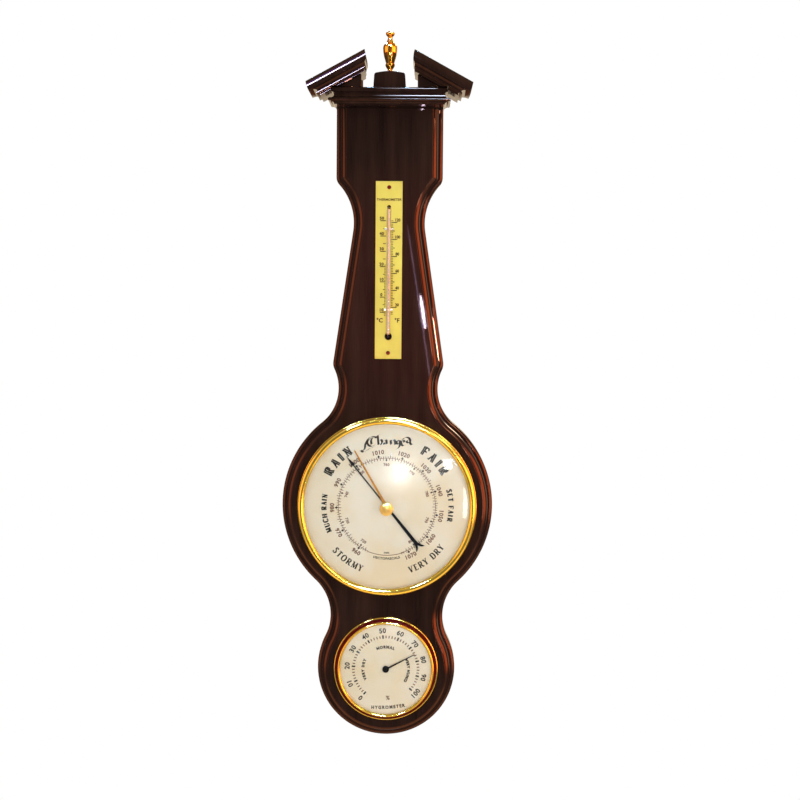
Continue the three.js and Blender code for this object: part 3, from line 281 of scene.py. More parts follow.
def bowed(start, *parts, steps=8):
    """A section line in millimetres: each part is the end of a run, (x, y) or (x, y, bulge).

    A run is the straight line to its end plus 4 t (1 - t) times bulge times its length,
    sideways to the left.
    """
    start = np.asarray(start, dtype=float)
    line = [start[None]]
    for x, y, *bulge in parts:
        end = np.array([x, y], dtype=float)
        t = np.linspace(0, 1, (steps if bulge else 1) + 1)[1:, None]
        run = end - start
        side = np.array([-run[1], run[0]])
        line.append(start + run * t + side * sum(bulge) * 4 * t * (1 - t))
        start = end
    return np.concatenate(line) * MM


def flowing(points, steps=6):
    """A smooth line through points: a Catmull-Rom curve, with steps points to each span."""
    p = np.asarray(points, dtype=float)
    p = np.concatenate([2 * p[:1] - p[1:2], p, 2 * p[-1:] - p[-2:-1]])
    t = np.linspace(0, 1, steps, endpoint=False)[None, :, None]
    a, b, c, d = (p[k : len(p) - 3 + k, None] for k in range(4))
    curve = 0.5 * (
        2 * b + (c - a) * t + (2 * a - 5 * b + 4 * c - d) * t**2 + (3 * b - a - 3 * c + d) * t**3
    )
    return np.concatenate([curve.reshape(-1, 2), p[-2:-1]]) * MM


def bevelled(obj, width, segments=2):
    """Rounds the sharp edges, by a width in millimetres, as sanding and lacquer do."""
    mod = obj.modifiers.new("Rounded edges", "BEVEL")
    mod.width = width * MM
    mod.segments = segments
    mod.limit_method = "ANGLE"
    mod.angle_limit = BEVEL_ANGLE
    mod.harden_normals = False
    return obj


def carved(obj, *cutters, solver="EXACT"):
    """Takes the cutters out of a piece for good, and removes them."""
    for cutter in cutters:
        mod = obj.modifiers.new("Cut", "BOOLEAN")
        mod.operation = "DIFFERENCE"
        mod.solver = solver
        mod.object = cutter
    graph = bpy.context.evaluated_depsgraph_get()
    cut = bpy.data.meshes.new_from_object(obj.evaluated_get(graph))
    obj.modifiers.clear()
    obj.data = cut
    for cutter in cutters:
        bpy.data.objects.remove(cutter)
    return welded(obj)


# Materials


def add(tree, kind, values=(), links=(), **settings):
    """Adds a node with its settings, its inputs' values and its links."""
    node = tree.nodes.new(kind)
    for key, value in settings.items():
        setattr(node, key, value)
    for key, value in dict(values).items():
        entry = node.inputs[key]
        entry.default_value = (*value[:3], 1.0) if entry.type == "RGBA" else value
    for key, source in dict(links).items():
        tree.links.new(source, node.inputs[key])
    return node


def new_material(name):
    """An empty node material and its tree."""
    material = bpy.data.materials.new(name)
    material.use_nodes = True
    material.node_tree.nodes.clear()
    return material, material.node_tree


def noise(tree, scale, detail=2.0, roughness=0.55, along=1.0):
    """Noise on Object coordinates in metres, drawn out lengthways when along is below 1."""
    coords = add(tree, "ShaderNodeTexCoord").outputs["Object"]
    place = add(tree, "ShaderNodeMapping", {"Scale": (1, 1, along)}, {"Vector": coords})
    values = {"Scale": scale, "Detail": detail, "Roughness": roughness}
    vector = {"Vector": place.outputs["Vector"]}
    return add(tree, "ShaderNodeTexNoise", values, vector).outputs["Fac"]


def ramp(tree, fac, *stops):
    """A colour ramp from (position, colour or grey) stops."""
    node = add(tree, "ShaderNodeValToRGB", links={"Fac": fac})
    elements = node.color_ramp.elements
    while len(elements) < len(stops):
        elements.new(0.5)
    for element, (position, value) in zip(elements, stops):
        element.position = position
        element.color = (*np.broadcast_to(value, 3), 1.0)
    return node.outputs["Color"]


def taken_to(tree, value, low, high):
    """A value between 0 and 1 taken to a range."""
    values = {"To Min": low, "To Max": high}
    return add(tree, "ShaderNodeMapRange", values, {"Value": value}).outputs["Result"]


def relief(tree, height, strength, depth):
    """Small bumps from a pattern, their depth in millimetres."""
    values = {"Strength": strength, "Distance": depth * MM}
    return add(tree, "ShaderNodeBump", values, {"Height": height}).outputs["Normal"]


def principled(tree, values, links):
    """The principled shader as the material's surface."""
    output(tree, add(tree, "ShaderNodeBsdfPrincipled", values, links).outputs["BSDF"])


def output(tree, shader):
    add(tree, "ShaderNodeOutputMaterial", links={"Surface": shader})


def lacquered_mahogany(name="Mahogany, stained and gloss lacquered", ior=1.5):
    """Mahogany stained dark red-brown, filled and sprayed with high-gloss lacquer.

    The grain runs up the board: bands some 10 mm wide and pores some 0.7 mm wide by 24 mm
    long under a flat, mirror-like coat whose orange peel is barely there.
    """
    material, tree = new_material(name)
    hue = colours()
    bands = noise(tree, 95, 3, 0.5, along=0.07)
    pores = noise(tree, 1400, 2, 0.6, along=0.03)
    cloud = noise(tree, 22)
    mixed = add(tree, "ShaderNodeMix", {"Factor": 0.35}, {"A": bands, "B": pores}).outputs["Result"]
    stain = ramp(tree, mixed, (0.3, hue.wood_dark), (0.68, hue.wood))
    shade = ramp(tree, cloud, (0.3, 0.8), (0.7, 1.0))
    base = add(
        tree, "ShaderNodeMix", {0: 1.0}, {6: stain, 7: shade}, data_type="RGBA", blend_type="MULTIPLY"
    ).outputs[2]
    principled(tree, {
        "IOR": ior, "Coat Weight": 0.1, "Coat Roughness": 0.02, "Specular Tint": linear("#ff9468"),
    }, {
        "Base Color": base, "Roughness": taken_to(tree, cloud, 0.012, 0.03),
        "Normal": relief(tree, noise(tree, 260), 0.012, 0.2),
    })
    return material


def metal(name, tint, dark, roughness, wear_scale=180, metallic=1.0):
    """A metal whose polish varies a little: soft cloudy stains and a fine grain.

    Below 1, metallic lets the lacquer or tarnish on it show as paint does.
    """
    material, tree = new_material(name)
    cloud = noise(tree, wear_scale, 3)
    principled(tree, {"Metallic": metallic}, {
        "Base Color": ramp(tree, cloud, (0.3, tone(dark)), (0.65, tone(tint))),
        "Roughness": taken_to(tree, cloud, roughness * 0.7, roughness * 1.5),
        "Normal": relief(tree, noise(tree, 2600), 0.05, 0.01),
    })
    return material


def satin_brass():
    """Rolled brass sheet brushed lengthways in fine lines, clear lacquered.

    The brush lines are some 0.15 mm apart, drawn at 0.4 mm so that they show.
    """
    material, tree = new_material("Brass sheet, brushed and lacquered")
    lines = noise(tree, 2400, along=0.02)
    tint = np.array(colours().plate)
    principled(tree, {"Metallic": 0.3, "Coat Weight": 0.05, "Coat Roughness": 0.3}, {
        "Base Color": ramp(tree, noise(tree, 45, 3), (0.3, tint * 0.86), (0.7, tint)),
        "Roughness": taken_to(tree, lines, 0.42, 0.6),
        "Normal": relief(tree, lines, 0.12, 0.02),
    })
    return material


def dial_card():
    """Coated card: even cream, with faint warm clouding from age and a fine tooth."""
    material, tree = new_material("Card, coated and printed")
    hue = colours()
    cloud = noise(tree, 28, 4, 0.6)
    principled(tree, {"Roughness": 0.55, "IOR": 1.45}, {
        "Base Color": ramp(tree, cloud, (0.35, hue.card_warm), (0.62, hue.card)),
        "Normal": relief(tree, noise(tree, 2000), 0.08, 0.02),
    })
    return material


def paint(name, tint, roughness=0.5, variation=0.25, scale=900, ior=1.48):
    """An opaque film of ink, paint or dyed spirit with a slightly uneven density."""
    material, tree = new_material(name)
    tint = tone(tint)
    film = ramp(tree, noise(tree, scale, 3), (0.3, tint), (0.75, tint * (1 - variation)))
    principled(tree, {"Roughness": roughness, "IOR": ior}, {"Base Color": film})
    return material


def clear_glass():
    """Thin bent window glass: clear from the front, mirror-like towards its edge."""
    material, tree = new_material("Glass, clear and domed")
    ripple = {"Normal": relief(tree, noise(tree, 60), 0.02, 0.2)}
    clear = add(tree, "ShaderNodeBsdfTransparent", {"Color": linear("#fdfefb")})
    sharp, hazy = (
        add(tree, "ShaderNodeBsdfGlossy", {"Color": (1, 1, 1), "Roughness": rough}, ripple)
        for rough in (0.02, 0.22)
    )
    gloss = add(tree, "ShaderNodeMixShader", {0: 0.5}, {1: sharp.outputs[0], 2: hazy.outputs[0]})
    edge = add(tree, "ShaderNodeFresnel", {"IOR": 1.45}, ripple)
    shader = add(tree, "ShaderNodeMixShader", links={
        0: edge.outputs[0], 1: clear.outputs[0], 2: gloss.outputs[0],
    })
    output(tree, shader.outputs[0])
    return material


def make_materials():
    """Every finish by its key."""
    hue = colours()
    brass, blued = np.array(hue.brass), np.array(hue.blued)
    steel = np.array(linear("#b9b9b4"))
    return {
        "wood": lacquered_mahogany(),
        "wood_thin": lacquered_mahogany("Mahogany, stained, thinly lacquered", 1.32),
        "brass": metal("Brass, polished and lacquered", brass, brass * 0.88, 0.1, metallic=0.8),
        "cast_brass": metal("Brass, cast and polished", "#ffcc68", "#e89a28", 0.09, metallic=0.92),
        "gilt": metal("Brass, dipped and dull", "#f0d07c", "#d8a84a", 0.3, metallic=0.6),
        "gilt_wire": metal("Brass wire, flattened", "#e09a18", "#b06a12", 0.3, metallic=0.4),
        "copper": metal("Copper rivet, tarnished", "#7a1408", "#3a0804", 0.55, metallic=0.85),
        "plate": satin_brass(),
        "card": dial_card(),
        "ink": paint("Ink, dark", hue.ink),
        "ink_plate": paint("Ink, etched", "#2a0400", 0.6, ior=1.2),
        "ink_scale": paint("Ink, brown", hue.ink_scale),
        "blued": metal("Steel, heat blued", blued, blued * 0.6, 0.3),
        # Painted shade and painted reflection of the dark wood, for the strip laid in the hygrometer bezel's cove.
        "groove": paint("Lacquer, oxblood, in the groove", "#560805", 0.5, 0.4, 300, 1.12),
        "glass": clear_glass(),
        "spirit": paint("Spirit, dyed", hue.spirit, 0.2),
        "bulb": paint("Spirit, dyed and deep", "#1a0808", 0.08, 0.05),
        "opal": paint("Glass, opal backed", "#d9d6de", 0.12, 0.1, 300),
        "steel": metal("Steel, bright", steel, steel * 0.7, 0.3),
        "tinplate": metal("Tinplate, drawn", steel * 0.9, steel * 0.6, 0.4, 90),
        "nickel": metal("Nickel silver, pressed", steel * 1.05, steel * 0.85, 0.25),
        "strip": metal("Paper-faced metal strip", "#c8a86a", "#a98a50", 0.5),
    }


# The wooden case

ARC_STEP = math.radians(2)


def arc(centre, radius, start, end):
    """Points (x, z) of an arc: centre plus radius times (cos a, sin a)."""
    a = np.linspace(start, end, max(3, math.ceil(abs(end - start) / ARC_STEP) + 1))
    return np.stack([centre[0] + radius * np.cos(a), centre[1] + radius * np.sin(a)], axis=1)


def bearing(a, b):
    return math.atan2(b[1] - a[1], b[0] - a[0])


FLARE = math.radians(8.4)


def case_outline():
    """The board's outline as tangent arcs, counterclockwise from the bottom.

    Two lobes, the hollows beside and above them, the hips, the flared neck, and the head.
    """
    s = sizes()
    baro = np.zeros(2)
    hygro = HYGROMETER - BAROMETER - (0, s.lower_drop)
    to_baro, to_hygro = s.upper_lobe + s.waist, s.lower_lobe + s.waist
    spacing = -hygro[1]
    down = (to_baro**2 - to_hygro**2 + spacing**2) / (2 * spacing)
    waist = np.array([math.sqrt(to_baro**2 - down**2), -down])
    neck_x = s.neck_half + s.neck
    neck = np.array([neck_x, math.sqrt((s.upper_lobe + s.neck) ** 2 - neck_x**2)])
    collar = np.array([s.collar_half + s.collar, s.collar_up])
    along = np.array([math.sin(FLARE), -math.cos(FLARE)])
    inward = np.array([-math.cos(FLARE), -math.sin(FLARE)])
    start = collar + inward * (s.collar + s.hip)
    to_neck = start - neck
    run = -to_neck @ along
    hip = start + along * (run - math.sqrt((s.neck + s.hip) ** 2 - to_neck @ to_neck + run**2))
    shoulder_x = s.head_half - s.shoulder
    rise = math.sqrt((s.collar + s.shoulder) ** 2 - (collar[0] - shoulder_x) ** 2)
    shoulder = np.array([shoulder_x, s.collar_up + rise])
    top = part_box("case_board")[1].z - BAROMETER[1]
    full = 2 * math.pi
    right = np.concatenate([
        arc(hygro, s.lower_lobe, -math.pi / 2, bearing(hygro, waist)),
        arc(waist, s.waist, full + bearing(waist, hygro), bearing(waist, baro))[1:],
        arc(baro, s.upper_lobe, bearing(baro, waist), bearing(baro, neck))[1:],
        arc(neck, s.neck, full + bearing(neck, baro), bearing(neck, hip))[1:],
        arc(hip, s.hip, bearing(hip, neck), FLARE)[1:],
        arc(collar, s.collar, math.pi + FLARE, bearing(collar, shoulder)),
        arc(shoulder, s.shoulder, bearing(shoulder, collar), 0)[1:],
        [[s.head_half, top]],
    ])
    left = right[:0:-1] * (-1, 1)
    return np.concatenate([right, left]) + BAROMETER


def inset(outline, distance):
    """The outline moved inward, each corner along its mitre."""
    before = outline - np.roll(outline, 1, axis=0)
    after = np.roll(outline, -1, axis=0) - outline
    before /= np.linalg.norm(before, axis=1, keepdims=True)
    after /= np.linalg.norm(after, axis=1, keepdims=True)
    normal = np.stack([-before[:, 1] - after[:, 1], before[:, 0] + after[:, 0]], axis=1)
    normal /= np.linalg.norm(normal, axis=1, keepdims=True)
    mitre = normal[:, 0] * -before[:, 1] + normal[:, 1] * before[:, 0]
    return outline + normal * distance / mitre[:, None]


def edge_section():
    """The moulded edge as (inset, height): side, quarter-round bead, fillet, ovolo and step."""
    s = sizes()
    t = np.linspace(0, math.pi / 2, 10)
    round_ = np.stack([1 - np.cos(t), np.sin(t)], axis=1)
    ease = 0.4 * MM
    ovolo_in = s.edge_bead + s.edge_fillet
    ovolo_up = s.edge_side + s.edge_bead
    ovolo = (s.edge_width - ovolo_in, s.thickness - s.edge_step - ovolo_up)
    return np.concatenate([
        [[ease, 0], [0, ease]],
        (0, s.edge_side) + round_ * s.edge_bead,
        (ovolo_in, ovolo_up) + round_ * ovolo,
        [[s.edge_width, s.thickness - ease / 2], [s.edge_width + ease / 2, s.thickness]],
    ])


def at_height(outline, height):
    """A flat outline (x, z) put in space at a height from the wall."""
    return np.column_stack([outline[:, 0], np.full(len(outline), -height), outline[:, 1]])


def prism(name, outline, low, high):
    """A flat outline (x, z) made thick from one height to another."""
    rings = [at_height(outline, h) for h in (low, high)]
    return welded(new_object(name, np.concatenate(rings), closed_faces(2, len(outline))))


def rectangle(x0, x1, z0, z1):
    return np.array([[x0, z0], [x1, z0], [x1, z1], [x0, z1]])


def bore(radius, low, high, centre):
    return turned("bore", [[0, low], [radius, low], [radius, high], [0, high]], centre, 96)


def grown(node, margin):
    """Outline of a node's box seen from the front, with a margin all round."""
    lo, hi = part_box(node)
    return rectangle(lo.x - margin, hi.x + margin, lo.z - margin, hi.z + margin)


GAP = 0.3 * MM
OVER = 1 * MM
HYGRO_BORE_BACK = 5 * MM
NAIL_POCKET_HALF = 8 * MM
BULB_POCKET_R = 3.4 * MM
BULB_POCKET = 7 * MM
PAN_FLANGE = 7.1 * MM
HYGRO_FLANGE = 2.8 * MM
HANGER_SEAT = 1.8 * MM


class STATION_OT_case(bpy.types.Operator):
    """Builds the case board with its moulded edge and its bores"""

    bl_idname = "station.case"
    bl_label = "Case board"

    def execute(self, context):
        s = sizes()
        outline = case_outline()
        rings = [at_height(inset(outline, distance), height) for distance, height in edge_section()]
        faces = closed_faces(len(rings), len(outline))
        board = welded(new_object("case_board_lacquered", np.concatenate(rings), faces))
        over = s.thickness + OVER
        pan_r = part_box("barometer_pan")[1].z - BAROMETER[1] - PAN_FLANGE
        hygro_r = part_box("hygrometer_case")[1].z - HYGROMETER[1] - HYGRO_FLANGE
        bulb_z = middle("thermometer_bulb")[2]
        plate_lo, plate_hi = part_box("hanger_plate")
        pocket = rectangle(
            -NAIL_POCKET_HALF, NAIL_POCKET_HALF, plate_lo.z + OVER, plate_hi.z - OVER
        )
        board = carved(
            board,
            bore(pan_r, -OVER, over, BAROMETER),
            bore(hygro_r, HYGRO_BORE_BACK, over, HYGROMETER),
            bore(BULB_POCKET_R, s.thickness - BULB_POCKET, over, (0, bulb_z)),
            prism("seat", grown("hanger_plate", GAP), -OVER, HANGER_SEAT),
            prism("pocket", pocket, -OVER, NAIL_POCKET_HALF),
        )
        finish_piece(board, "wood", "case_board")
        return {"FINISHED"}


# The pediment

RAKE = math.radians(28.6)
RAKE_TIP_X = 70 * MM
RAKE_TIP_UP = 3 * MM
TYMPANUM_FRONT = 38 * MM
TYMPANUM_EDGE = 23.2 * MM
RAKE_T = 15.6 * MM
RAKE_OUT = 10 * MM
RAKE_BOW = 8
RAKE_BOW_RETURN = 0.45
RAKE_FOOT_RETURN = 1.9
RAKE_ROOM = 3.1 * MM
INNER_RETURN = 0.38
CORNICE_FRONT = 38 * MM


def cornice_section():
    """Horizontal cornice as (up, out): cove, torus, cove, frieze and fascia."""
    return bowed(
        (0, 0.6), (0.9, 0.8), (2.3, 4.9, -0.12), (4.9, 4.6, 0.27), (5.1, 3.4),
        (6.9, 0.9, -0.14), (9.2, 0.8), (9.9, 2.5, -0.2), (10.2, 2.8),
        (12.2, 2.8), (13.9, 1.1, 0.2),
    )


def rake_section():
    """Raking cornice as (down, out): wide bow, step, deep cove, fillet, cove and bead."""
    return bowed(
        (0, 6.9), (RAKE_BOW, 10, 0.08), (8.4, 8.9), (11.2, 6.6, -0.13),
        (11.5, 7.0), (12.9, 7.6, 0.02), (13.2, 6.2), (14.2, 5.9, -0.1),
        (15.5, 6.5, 0.02), (15.6, 5.6),
    )


def mitred(name, rings):
    """A moulding from four-cornered rings: each ring is one level of the section."""
    return welded(new_object(name, np.concatenate(rings), closed_faces(len(rings), 4)))


def horizontal_cornice():
    """The section goes round the front and both returns, so a ring is a rectangle open to the wall."""
    s = sizes()
    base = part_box("horizontal_cornice")[0].z
    rings = []
    for up, out in cornice_section():
        x, front, z = s.head_half + out, CORNICE_FRONT + out, base + up
        rings.append([[-x, 0, z], [-x, -front, z], [x, -front, z], [x, 0, z]])
    half = s.head_half + GAP
    head = rectangle(-half, half, base - OVER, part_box("case_board")[1].z + GAP)
    body = carved(
        mitred("horizontal_cornice_moulded", rings), prism("head", head, -OVER, s.thickness + GAP),
        solver="FAST",
    )
    return bevelled(body, 0.25)


def rake_line(x, top):
    """Height of a raking cornice's top line over a place x."""
    return top + RAKE_TIP_UP + (RAKE_TIP_X - x) * math.tan(RAKE)


def raking_cornice(side, word):
    """The section runs up the slope and round a return at each end."""
    base, top = (corner.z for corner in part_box("horizontal_cornice"))
    rings = []
    for down, out in rake_section():
        share = RAKE_BOW_RETURN if down < RAKE_BOW * MM else RAKE_FOOT_RETURN
        short = (RAKE_OUT - out) * share
        low_x = RAKE_TIP_X - down * math.sin(RAKE) - short * math.cos(RAKE)
        low_z = top + RAKE_TIP_UP - down * math.cos(RAKE) + short * math.sin(RAKE)
        high_x = TYMPANUM_EDGE - INNER_RETURN * out
        high_z = rake_line(high_x, top) - down / math.cos(RAKE)
        y = -TYMPANUM_FRONT - out
        lo, hi = side * low_x, side * high_x
        rings.append([[lo, 0, low_z], [lo, y, low_z], [hi, y, high_z], [hi, 0, high_z]])
    reach = sizes().head_half + RAKE_ROOM
    room = rectangle(-reach, reach, base, top + GAP)
    body = carved(
        mitred(f"raking_cornice_{word}_moulded", rings),
        prism("room", room, -OVER, 2 * CORNICE_FRONT),
    )
    return bevelled(body, 0.25)


def tympanum(side, word):
    """A triangular board that fills the corner under its raking cornice."""
    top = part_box("horizontal_cornice")[1].z
    low = top + GAP
    under = RAKE_T / math.cos(RAKE) + GAP
    high = rake_line(TYMPANUM_EDGE, top) - under
    outer = TYMPANUM_EDGE + (high - low) / math.tan(RAKE)
    shape = np.array([[TYMPANUM_EDGE, low], [outer, low], [TYMPANUM_EDGE, high]]) * (side, 1)
    return bevelled(prism(f"tympanum_{word}_lacquered", shape, 0, TYMPANUM_FRONT), 0.35, 3)


def plinth():
    """A block with swept feet, slightly tapered sides, rounded shoulders and an arched top."""
    lo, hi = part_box("finial_plinth")
    high = (hi.z - lo.z) / MM
    right = bowed(
        (hi.x / MM, 0), (13.3, 2.2, 0.16), (12.8, high - 3.4), (10.7, high - 1.3, -0.2),
        (0, high, -0.02), steps=10,
    )
    left = right[-2::-1] * (-1, 1)
    shape = np.concatenate([right, left]) + (0, lo.z)
    return bevelled(prism("finial_plinth_lacquered", shape, 0, -lo.y), 0.4, 3)


class STATION_OT_pediment(bpy.types.Operator):
    """Builds the horizontal and raking cornices, the tympana and the plinth"""

    bl_idname = "station.pediment"
    bl_label = "Pediment"

    def execute(self, context):
        finish_piece(horizontal_cornice(), "wood_thin", "horizontal_cornice")
        finish_piece(plinth(), "wood_thin", "finial_plinth")
        for word, side in (("left", -1), ("right", 1)):
            finish_piece(raking_cornice(side, word), "wood_thin", f"raking_cornice_{word}")
            finish_piece(tympanum(side, word), "wood_thin", f"tympanum_{word}")
        return {"FINISHED"}


class STATION_OT_finial(bpy.types.Operator):
    """Builds the turned brass finial"""

    bl_idname = "station.finial"
    bl_label = "Finial"

    def execute(self, context):
        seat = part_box("finial_plinth")[1].z + GAP
        high = (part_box("finial")[1].z - seat) / MM
        stud = bowed((0, -8), (1.2, -8), (1.5, -7.5), (1.5, 0))
        flange = bowed((1.5, 0), (4.3, 0), (4.3, 0.8, -0.4), (3.1, 1.3, 0.1))
        vase = flowing([(3.1, 1.3), (2.2, 2.3), (2.1, 3.2), (3.2, 4.6), (3.95, 6.3), (3.8, 7.7)])
        collar = bowed((3.8, 7.7), (3.3, 8.0), (3.3, 8.4), (3.7, 8.8, -0.2))
        body = flowing([
            (3.7, 8.8), (4.2, 10.8), (5.0, 13.4), (5.6, 16.5), (5.9, 19.6), (5.85, 21.6),
            (5.1, 23.4), (3.5, 24.9), (2.6, 26.8), (1.9, 28.9), (2.2, 30.2),
        ])
        knob = flowing([
            (2.2, 30.2), (3.2, 31.1), (3.7, 32.4), (3.2, 33.8), (1.8, high - 0.4), (0, high),
        ])
        profile = np.concatenate([stud, flange, vase, collar, body, knob])
        obj = upright("finial_turned", profile, (0, middle("finial")[1], seat))
        finish_piece(obj, "cast_brass", "finial")
        return {"FINISHED"}


# The barometer and hygrometer


def dome(word, centre, lip, sag, hole_r=0.0):
    """Domed glass of even thickness: a flat rim, then a cap of a sphere inside the bezel's lip.

    The cap rises sqrt(R^2 - r^2) - (R - sag) over its edge, where R is the sphere's radius.
    """
    node = f"{word}_glass"
    seat, top = heights(node)
    rim_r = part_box(node)[1].x
    dome_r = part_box(f"{word}_bezel")[1].x - lip * MM - GAP
    thick = top - seat - sag
    sphere = (dome_r**2 + sag**2) / (2 * sag)
    r = np.linspace(dome_r, hole_r, 40)
    rise = np.sqrt(sphere**2 - r**2) - (sphere - sag)
    rim = [[rim_r, seat], [rim_r, seat + thick]]
    outside = np.column_stack([r, seat + thick + rise])
    inside = np.column_stack([r, seat + rise])[::-1]
    profile = np.concatenate([inside, rim, outside])
    finish_piece(turned(f"{node}_domed", profile, centre, closed=hole_r > 0), "glass", node)


GLASS_SEAT = 1.3


def bezel_sizes(word, centre):
    """A bezel's radius, its back and its glass's front, in millimetres."""
    r0 = (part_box(f"{word}_bezel")[1].x - centre[0]) / MM
    return r0, heights(f"{word}_bezel")[0] / MM, heights(f"{word}_glass")[0] / MM + GLASS_SEAT


def barometer_bezel():
    """Spun bezel: outer bead, groove, wide round band and a turned-in lip over the glass."""
    r0, back, seat = bezel_sizes("barometer", BAROMETER)
    t = np.radians(np.linspace(-35, 188, 30))
    band = np.column_stack([r0 - 3.3 + 2.7 * np.cos(t), seat + 0.2 + 2.7 * np.sin(t)]) * MM
    bead = bowed(
        (r0 - 3.2, back), (r0 - 0.2, back), (r0, back + 0.3), (r0, back + 1.2),
        (r0 - 1.3, back + 2.2, -0.32), (r0 - 1.5, back + 1.9), (r0 - 1.7, back + 2.4),
    )
    lip = bowed((r0 - 6, seat), (r0 - 3.2, seat))
    profile = np.concatenate([bead, band, lip])
    obj = turned("barometer_bezel_spun", profile, BAROMETER, 192, closed=True)
    finish_piece(obj, "brass", "barometer_bezel")


def hygrometer_bezel():
    """Spun bezel: outer bead, cove, torus and a lip over the glass."""
    r0, back, seat = bezel_sizes("hygrometer", HYGROMETER)
    top = heights("hygrometer_bezel")[1] / MM
    profile = bowed(
        (r0 - 2.3, back), (r0 - 0.2, back), (r0, back + 0.3), (r0, back + 1.0),
        (r0 - 1.3, back + 1.8, -0.35), (r0 - 1.4, back + 1.5), (r0 - 3.3, top - 1.3, -0.16),
        (r0 - 3.4, top - 0.9), (r0 - 5.2, top - 0.8, -0.4), (r0 - 5.7, seat + 0.4),
        (r0 - 5.7, seat), (r0 - 2.3, seat), steps=10,
    )
    obj = turned("hygrometer_bezel_spun", profile[:-1], HYGROMETER, 160, closed=True)
    finish_piece(obj, "brass", "hygrometer_bezel")
    # Painted shade and painted reflection: a dark red strip laid over the brass cove stands in for the dark wood
    # that the cove mirrors.
    line = bowed(
        (r0 - 1.0, back + 1.45), (r0 - 3.3, top - 1.25, -0.16), (r0 - 3.3, top - 1.1),
        (r0 - 1.0, back + 1.65, 0.16), steps=8,
    )
    finish_piece(turned("hygrometer_bezel_groove", line, HYGROMETER, 160, closed=True), "groove")


def set_knob():
    """Turned knob on its stem: a waisted foot, a rounded rim and a slightly domed top."""
    foot, top = (v / MM for v in heights("set_knob"))
    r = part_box("set_knob")[1].x / MM
    profile = bowed(
        (0, foot), (1.6, foot), (1.6, top - 7.5), (2.9, top - 7.5),
        (3.0, top - 6.3, 0.15), (r - 0.5, top - 5.2, 0.12), (r, top - 4.4, -0.2),
        (r, top - 2.2), (r - 0.9, top - 0.8, -0.2), (r - 1.3, top - 0.7),
        (0, top, -0.05),
    )
    finish_piece(turned("set_knob_turned", profile, BAROMETER, 96), "gilt", "set_knob", body="set_hand")


def clockwise(points, degrees, centre):
    """Points drawn about a hand's own centre, pointing up, turned clockwise and put in place."""
    a = math.radians(degrees)
    x, z = points[..., 0], points[..., 1]
    return np.stack(
        [x * math.cos(a) + z * math.sin(a), z * math.cos(a) - x * math.sin(a)], axis=-1
    ) + centre


def hand(name, outline, node, degrees, finish, body):
    """A hand of the barometer: a flat outline of even thickness, its edges eased."""
    shape = clockwise(np.asarray(outline) * MM, degrees, BAROMETER)
    obj = bevelled(prism(name, shape, *heights(node)), 0.12)
    finish_piece(obj, finish, node, body=body)


def mirrored(right):
    """A closed outline from its right half, given from top to bottom."""
    right = np.asarray(right, dtype=float)
    left = right[::-1] * (-1, 1)
    keep = np.abs(left[:, 0]) > 1e-9
    return np.concatenate([left[keep], right])


POINTER_DEG = -39
SET_HAND_DEG = -30
HYGRO_DEG = 62
NEEDLE_LOW = 0.4 * MM
NEEDLE_HIGH = 0.9 * MM


def half_round(r):
    """The right half of a round hub, from top to bottom."""
    t = np.linspace(0, math.pi, 24)[1:-1]
    return np.column_stack([r * np.sin(t), r * np.cos(t)])


def pointer_outline():
    """Slim spear head, thin shaft, round hub, thicker tail and a swallowtail, in millimetres."""
    return mirrored([
        (0, 55.6), (0.35, 53), (1.0, 49), (1.75, 45.8), (1.9, 44.9), (0.55, 45.6), (0.55, 20),
        (0.7, 5), *half_round(3.4), (1.0, -5), (1.35, -25), (1.45, -37.5), (1.7, -40),
        (2.7, -43), (4.6, -46), (2.4, -45.2), (0.9, -43.6), (0, -42),
    ])


def set_hand_outline():
    """Long plain taper on a round collar, in millimetres."""
    return mirrored([(0, 56), (0.55, 54.5), (0.95, 12), (1.1, 4), *half_round(3.2), (0, -3.2)])


class STATION_OT_barometer(bpy.types.Operator):
    """Builds the barometer's bezel, glass, hands and knob"""

    bl_idname = "station.barometer"
    bl_label = "Barometer"

    def execute(self, context):
        barometer_bezel()
        dome("barometer", BAROMETER, 6, 7.5 * MM, 2 * MM)
        hand("barometer_pointer_cut", pointer_outline(), "barometer_pointer", POINTER_DEG,
             "blued", "pointer")
        hand("set_hand_cut", set_hand_outline(), "set_hand", SET_HAND_DEG, "gilt_wire", "set_hand")
        set_knob()
        return {"FINISHED"}


def hygrometer_pointer():
    """A plain needle on a domed round hub."""
    low, high = heights("hygrometer_pointer")
    needle = mirrored([(0, 28), (0.3, 27.5), (0.8, 0), (0, -2)])
    shape = clockwise(needle * MM, HYGRO_DEG, HYGROMETER)
    blade = bevelled(prism("hygrometer_needle_cut", shape, low + NEEDLE_LOW, low + NEEDLE_HIGH), 0.1)
    low, high = low / MM, high / MM
    hub = bowed((0, low), (2.9, low), (2.9, low + 1), (0, high, -0.2))
    cap = turned("hygrometer_hub_turned", hub, HYGROMETER, 64)
    for obj in (blade, cap):
        finish_piece(obj, "blued", "hygrometer_pointer", body="humidity_pointer")


class STATION_OT_hygrometer(bpy.types.Operator):
    """Builds the hygrometer's bezel, glass and pointer"""

    bl_idname = "station.hygrometer"
    bl_label = "Hygrometer"

    def execute(self, context):
        hygrometer_bezel()
        dome("hygrometer", HYGROMETER, 5.7, 3 * MM)
        hygrometer_pointer()
        return {"FINISHED"}


# The thermometer and the small fittings

HOLE_DEPTH = 45.4 * MM
BULB_HOLE = 3.1 * MM
TUBE_HOLE = 1.6 * MM
BACKING_HALF = 0.95 * MM
BACKING = (0.8 * MM, 0.65 * MM)
SCREW_R = 1.3
PAN_INSET = 11.4
DRIVER_HOLE_R = 3.3 * MM
EYE_R = 4.6 * MM
SLOT_HALF = 2.4 * MM
EYE_DOWN, CROWN_UP = 2.1 * MM, 4.5 * MM
SINK_R, SCREW_HOLE_R = 2.95 * MM, 1.6 * MM
HANGER_SCREWS = ("hanger_screw_left", "hanger_screw_right")


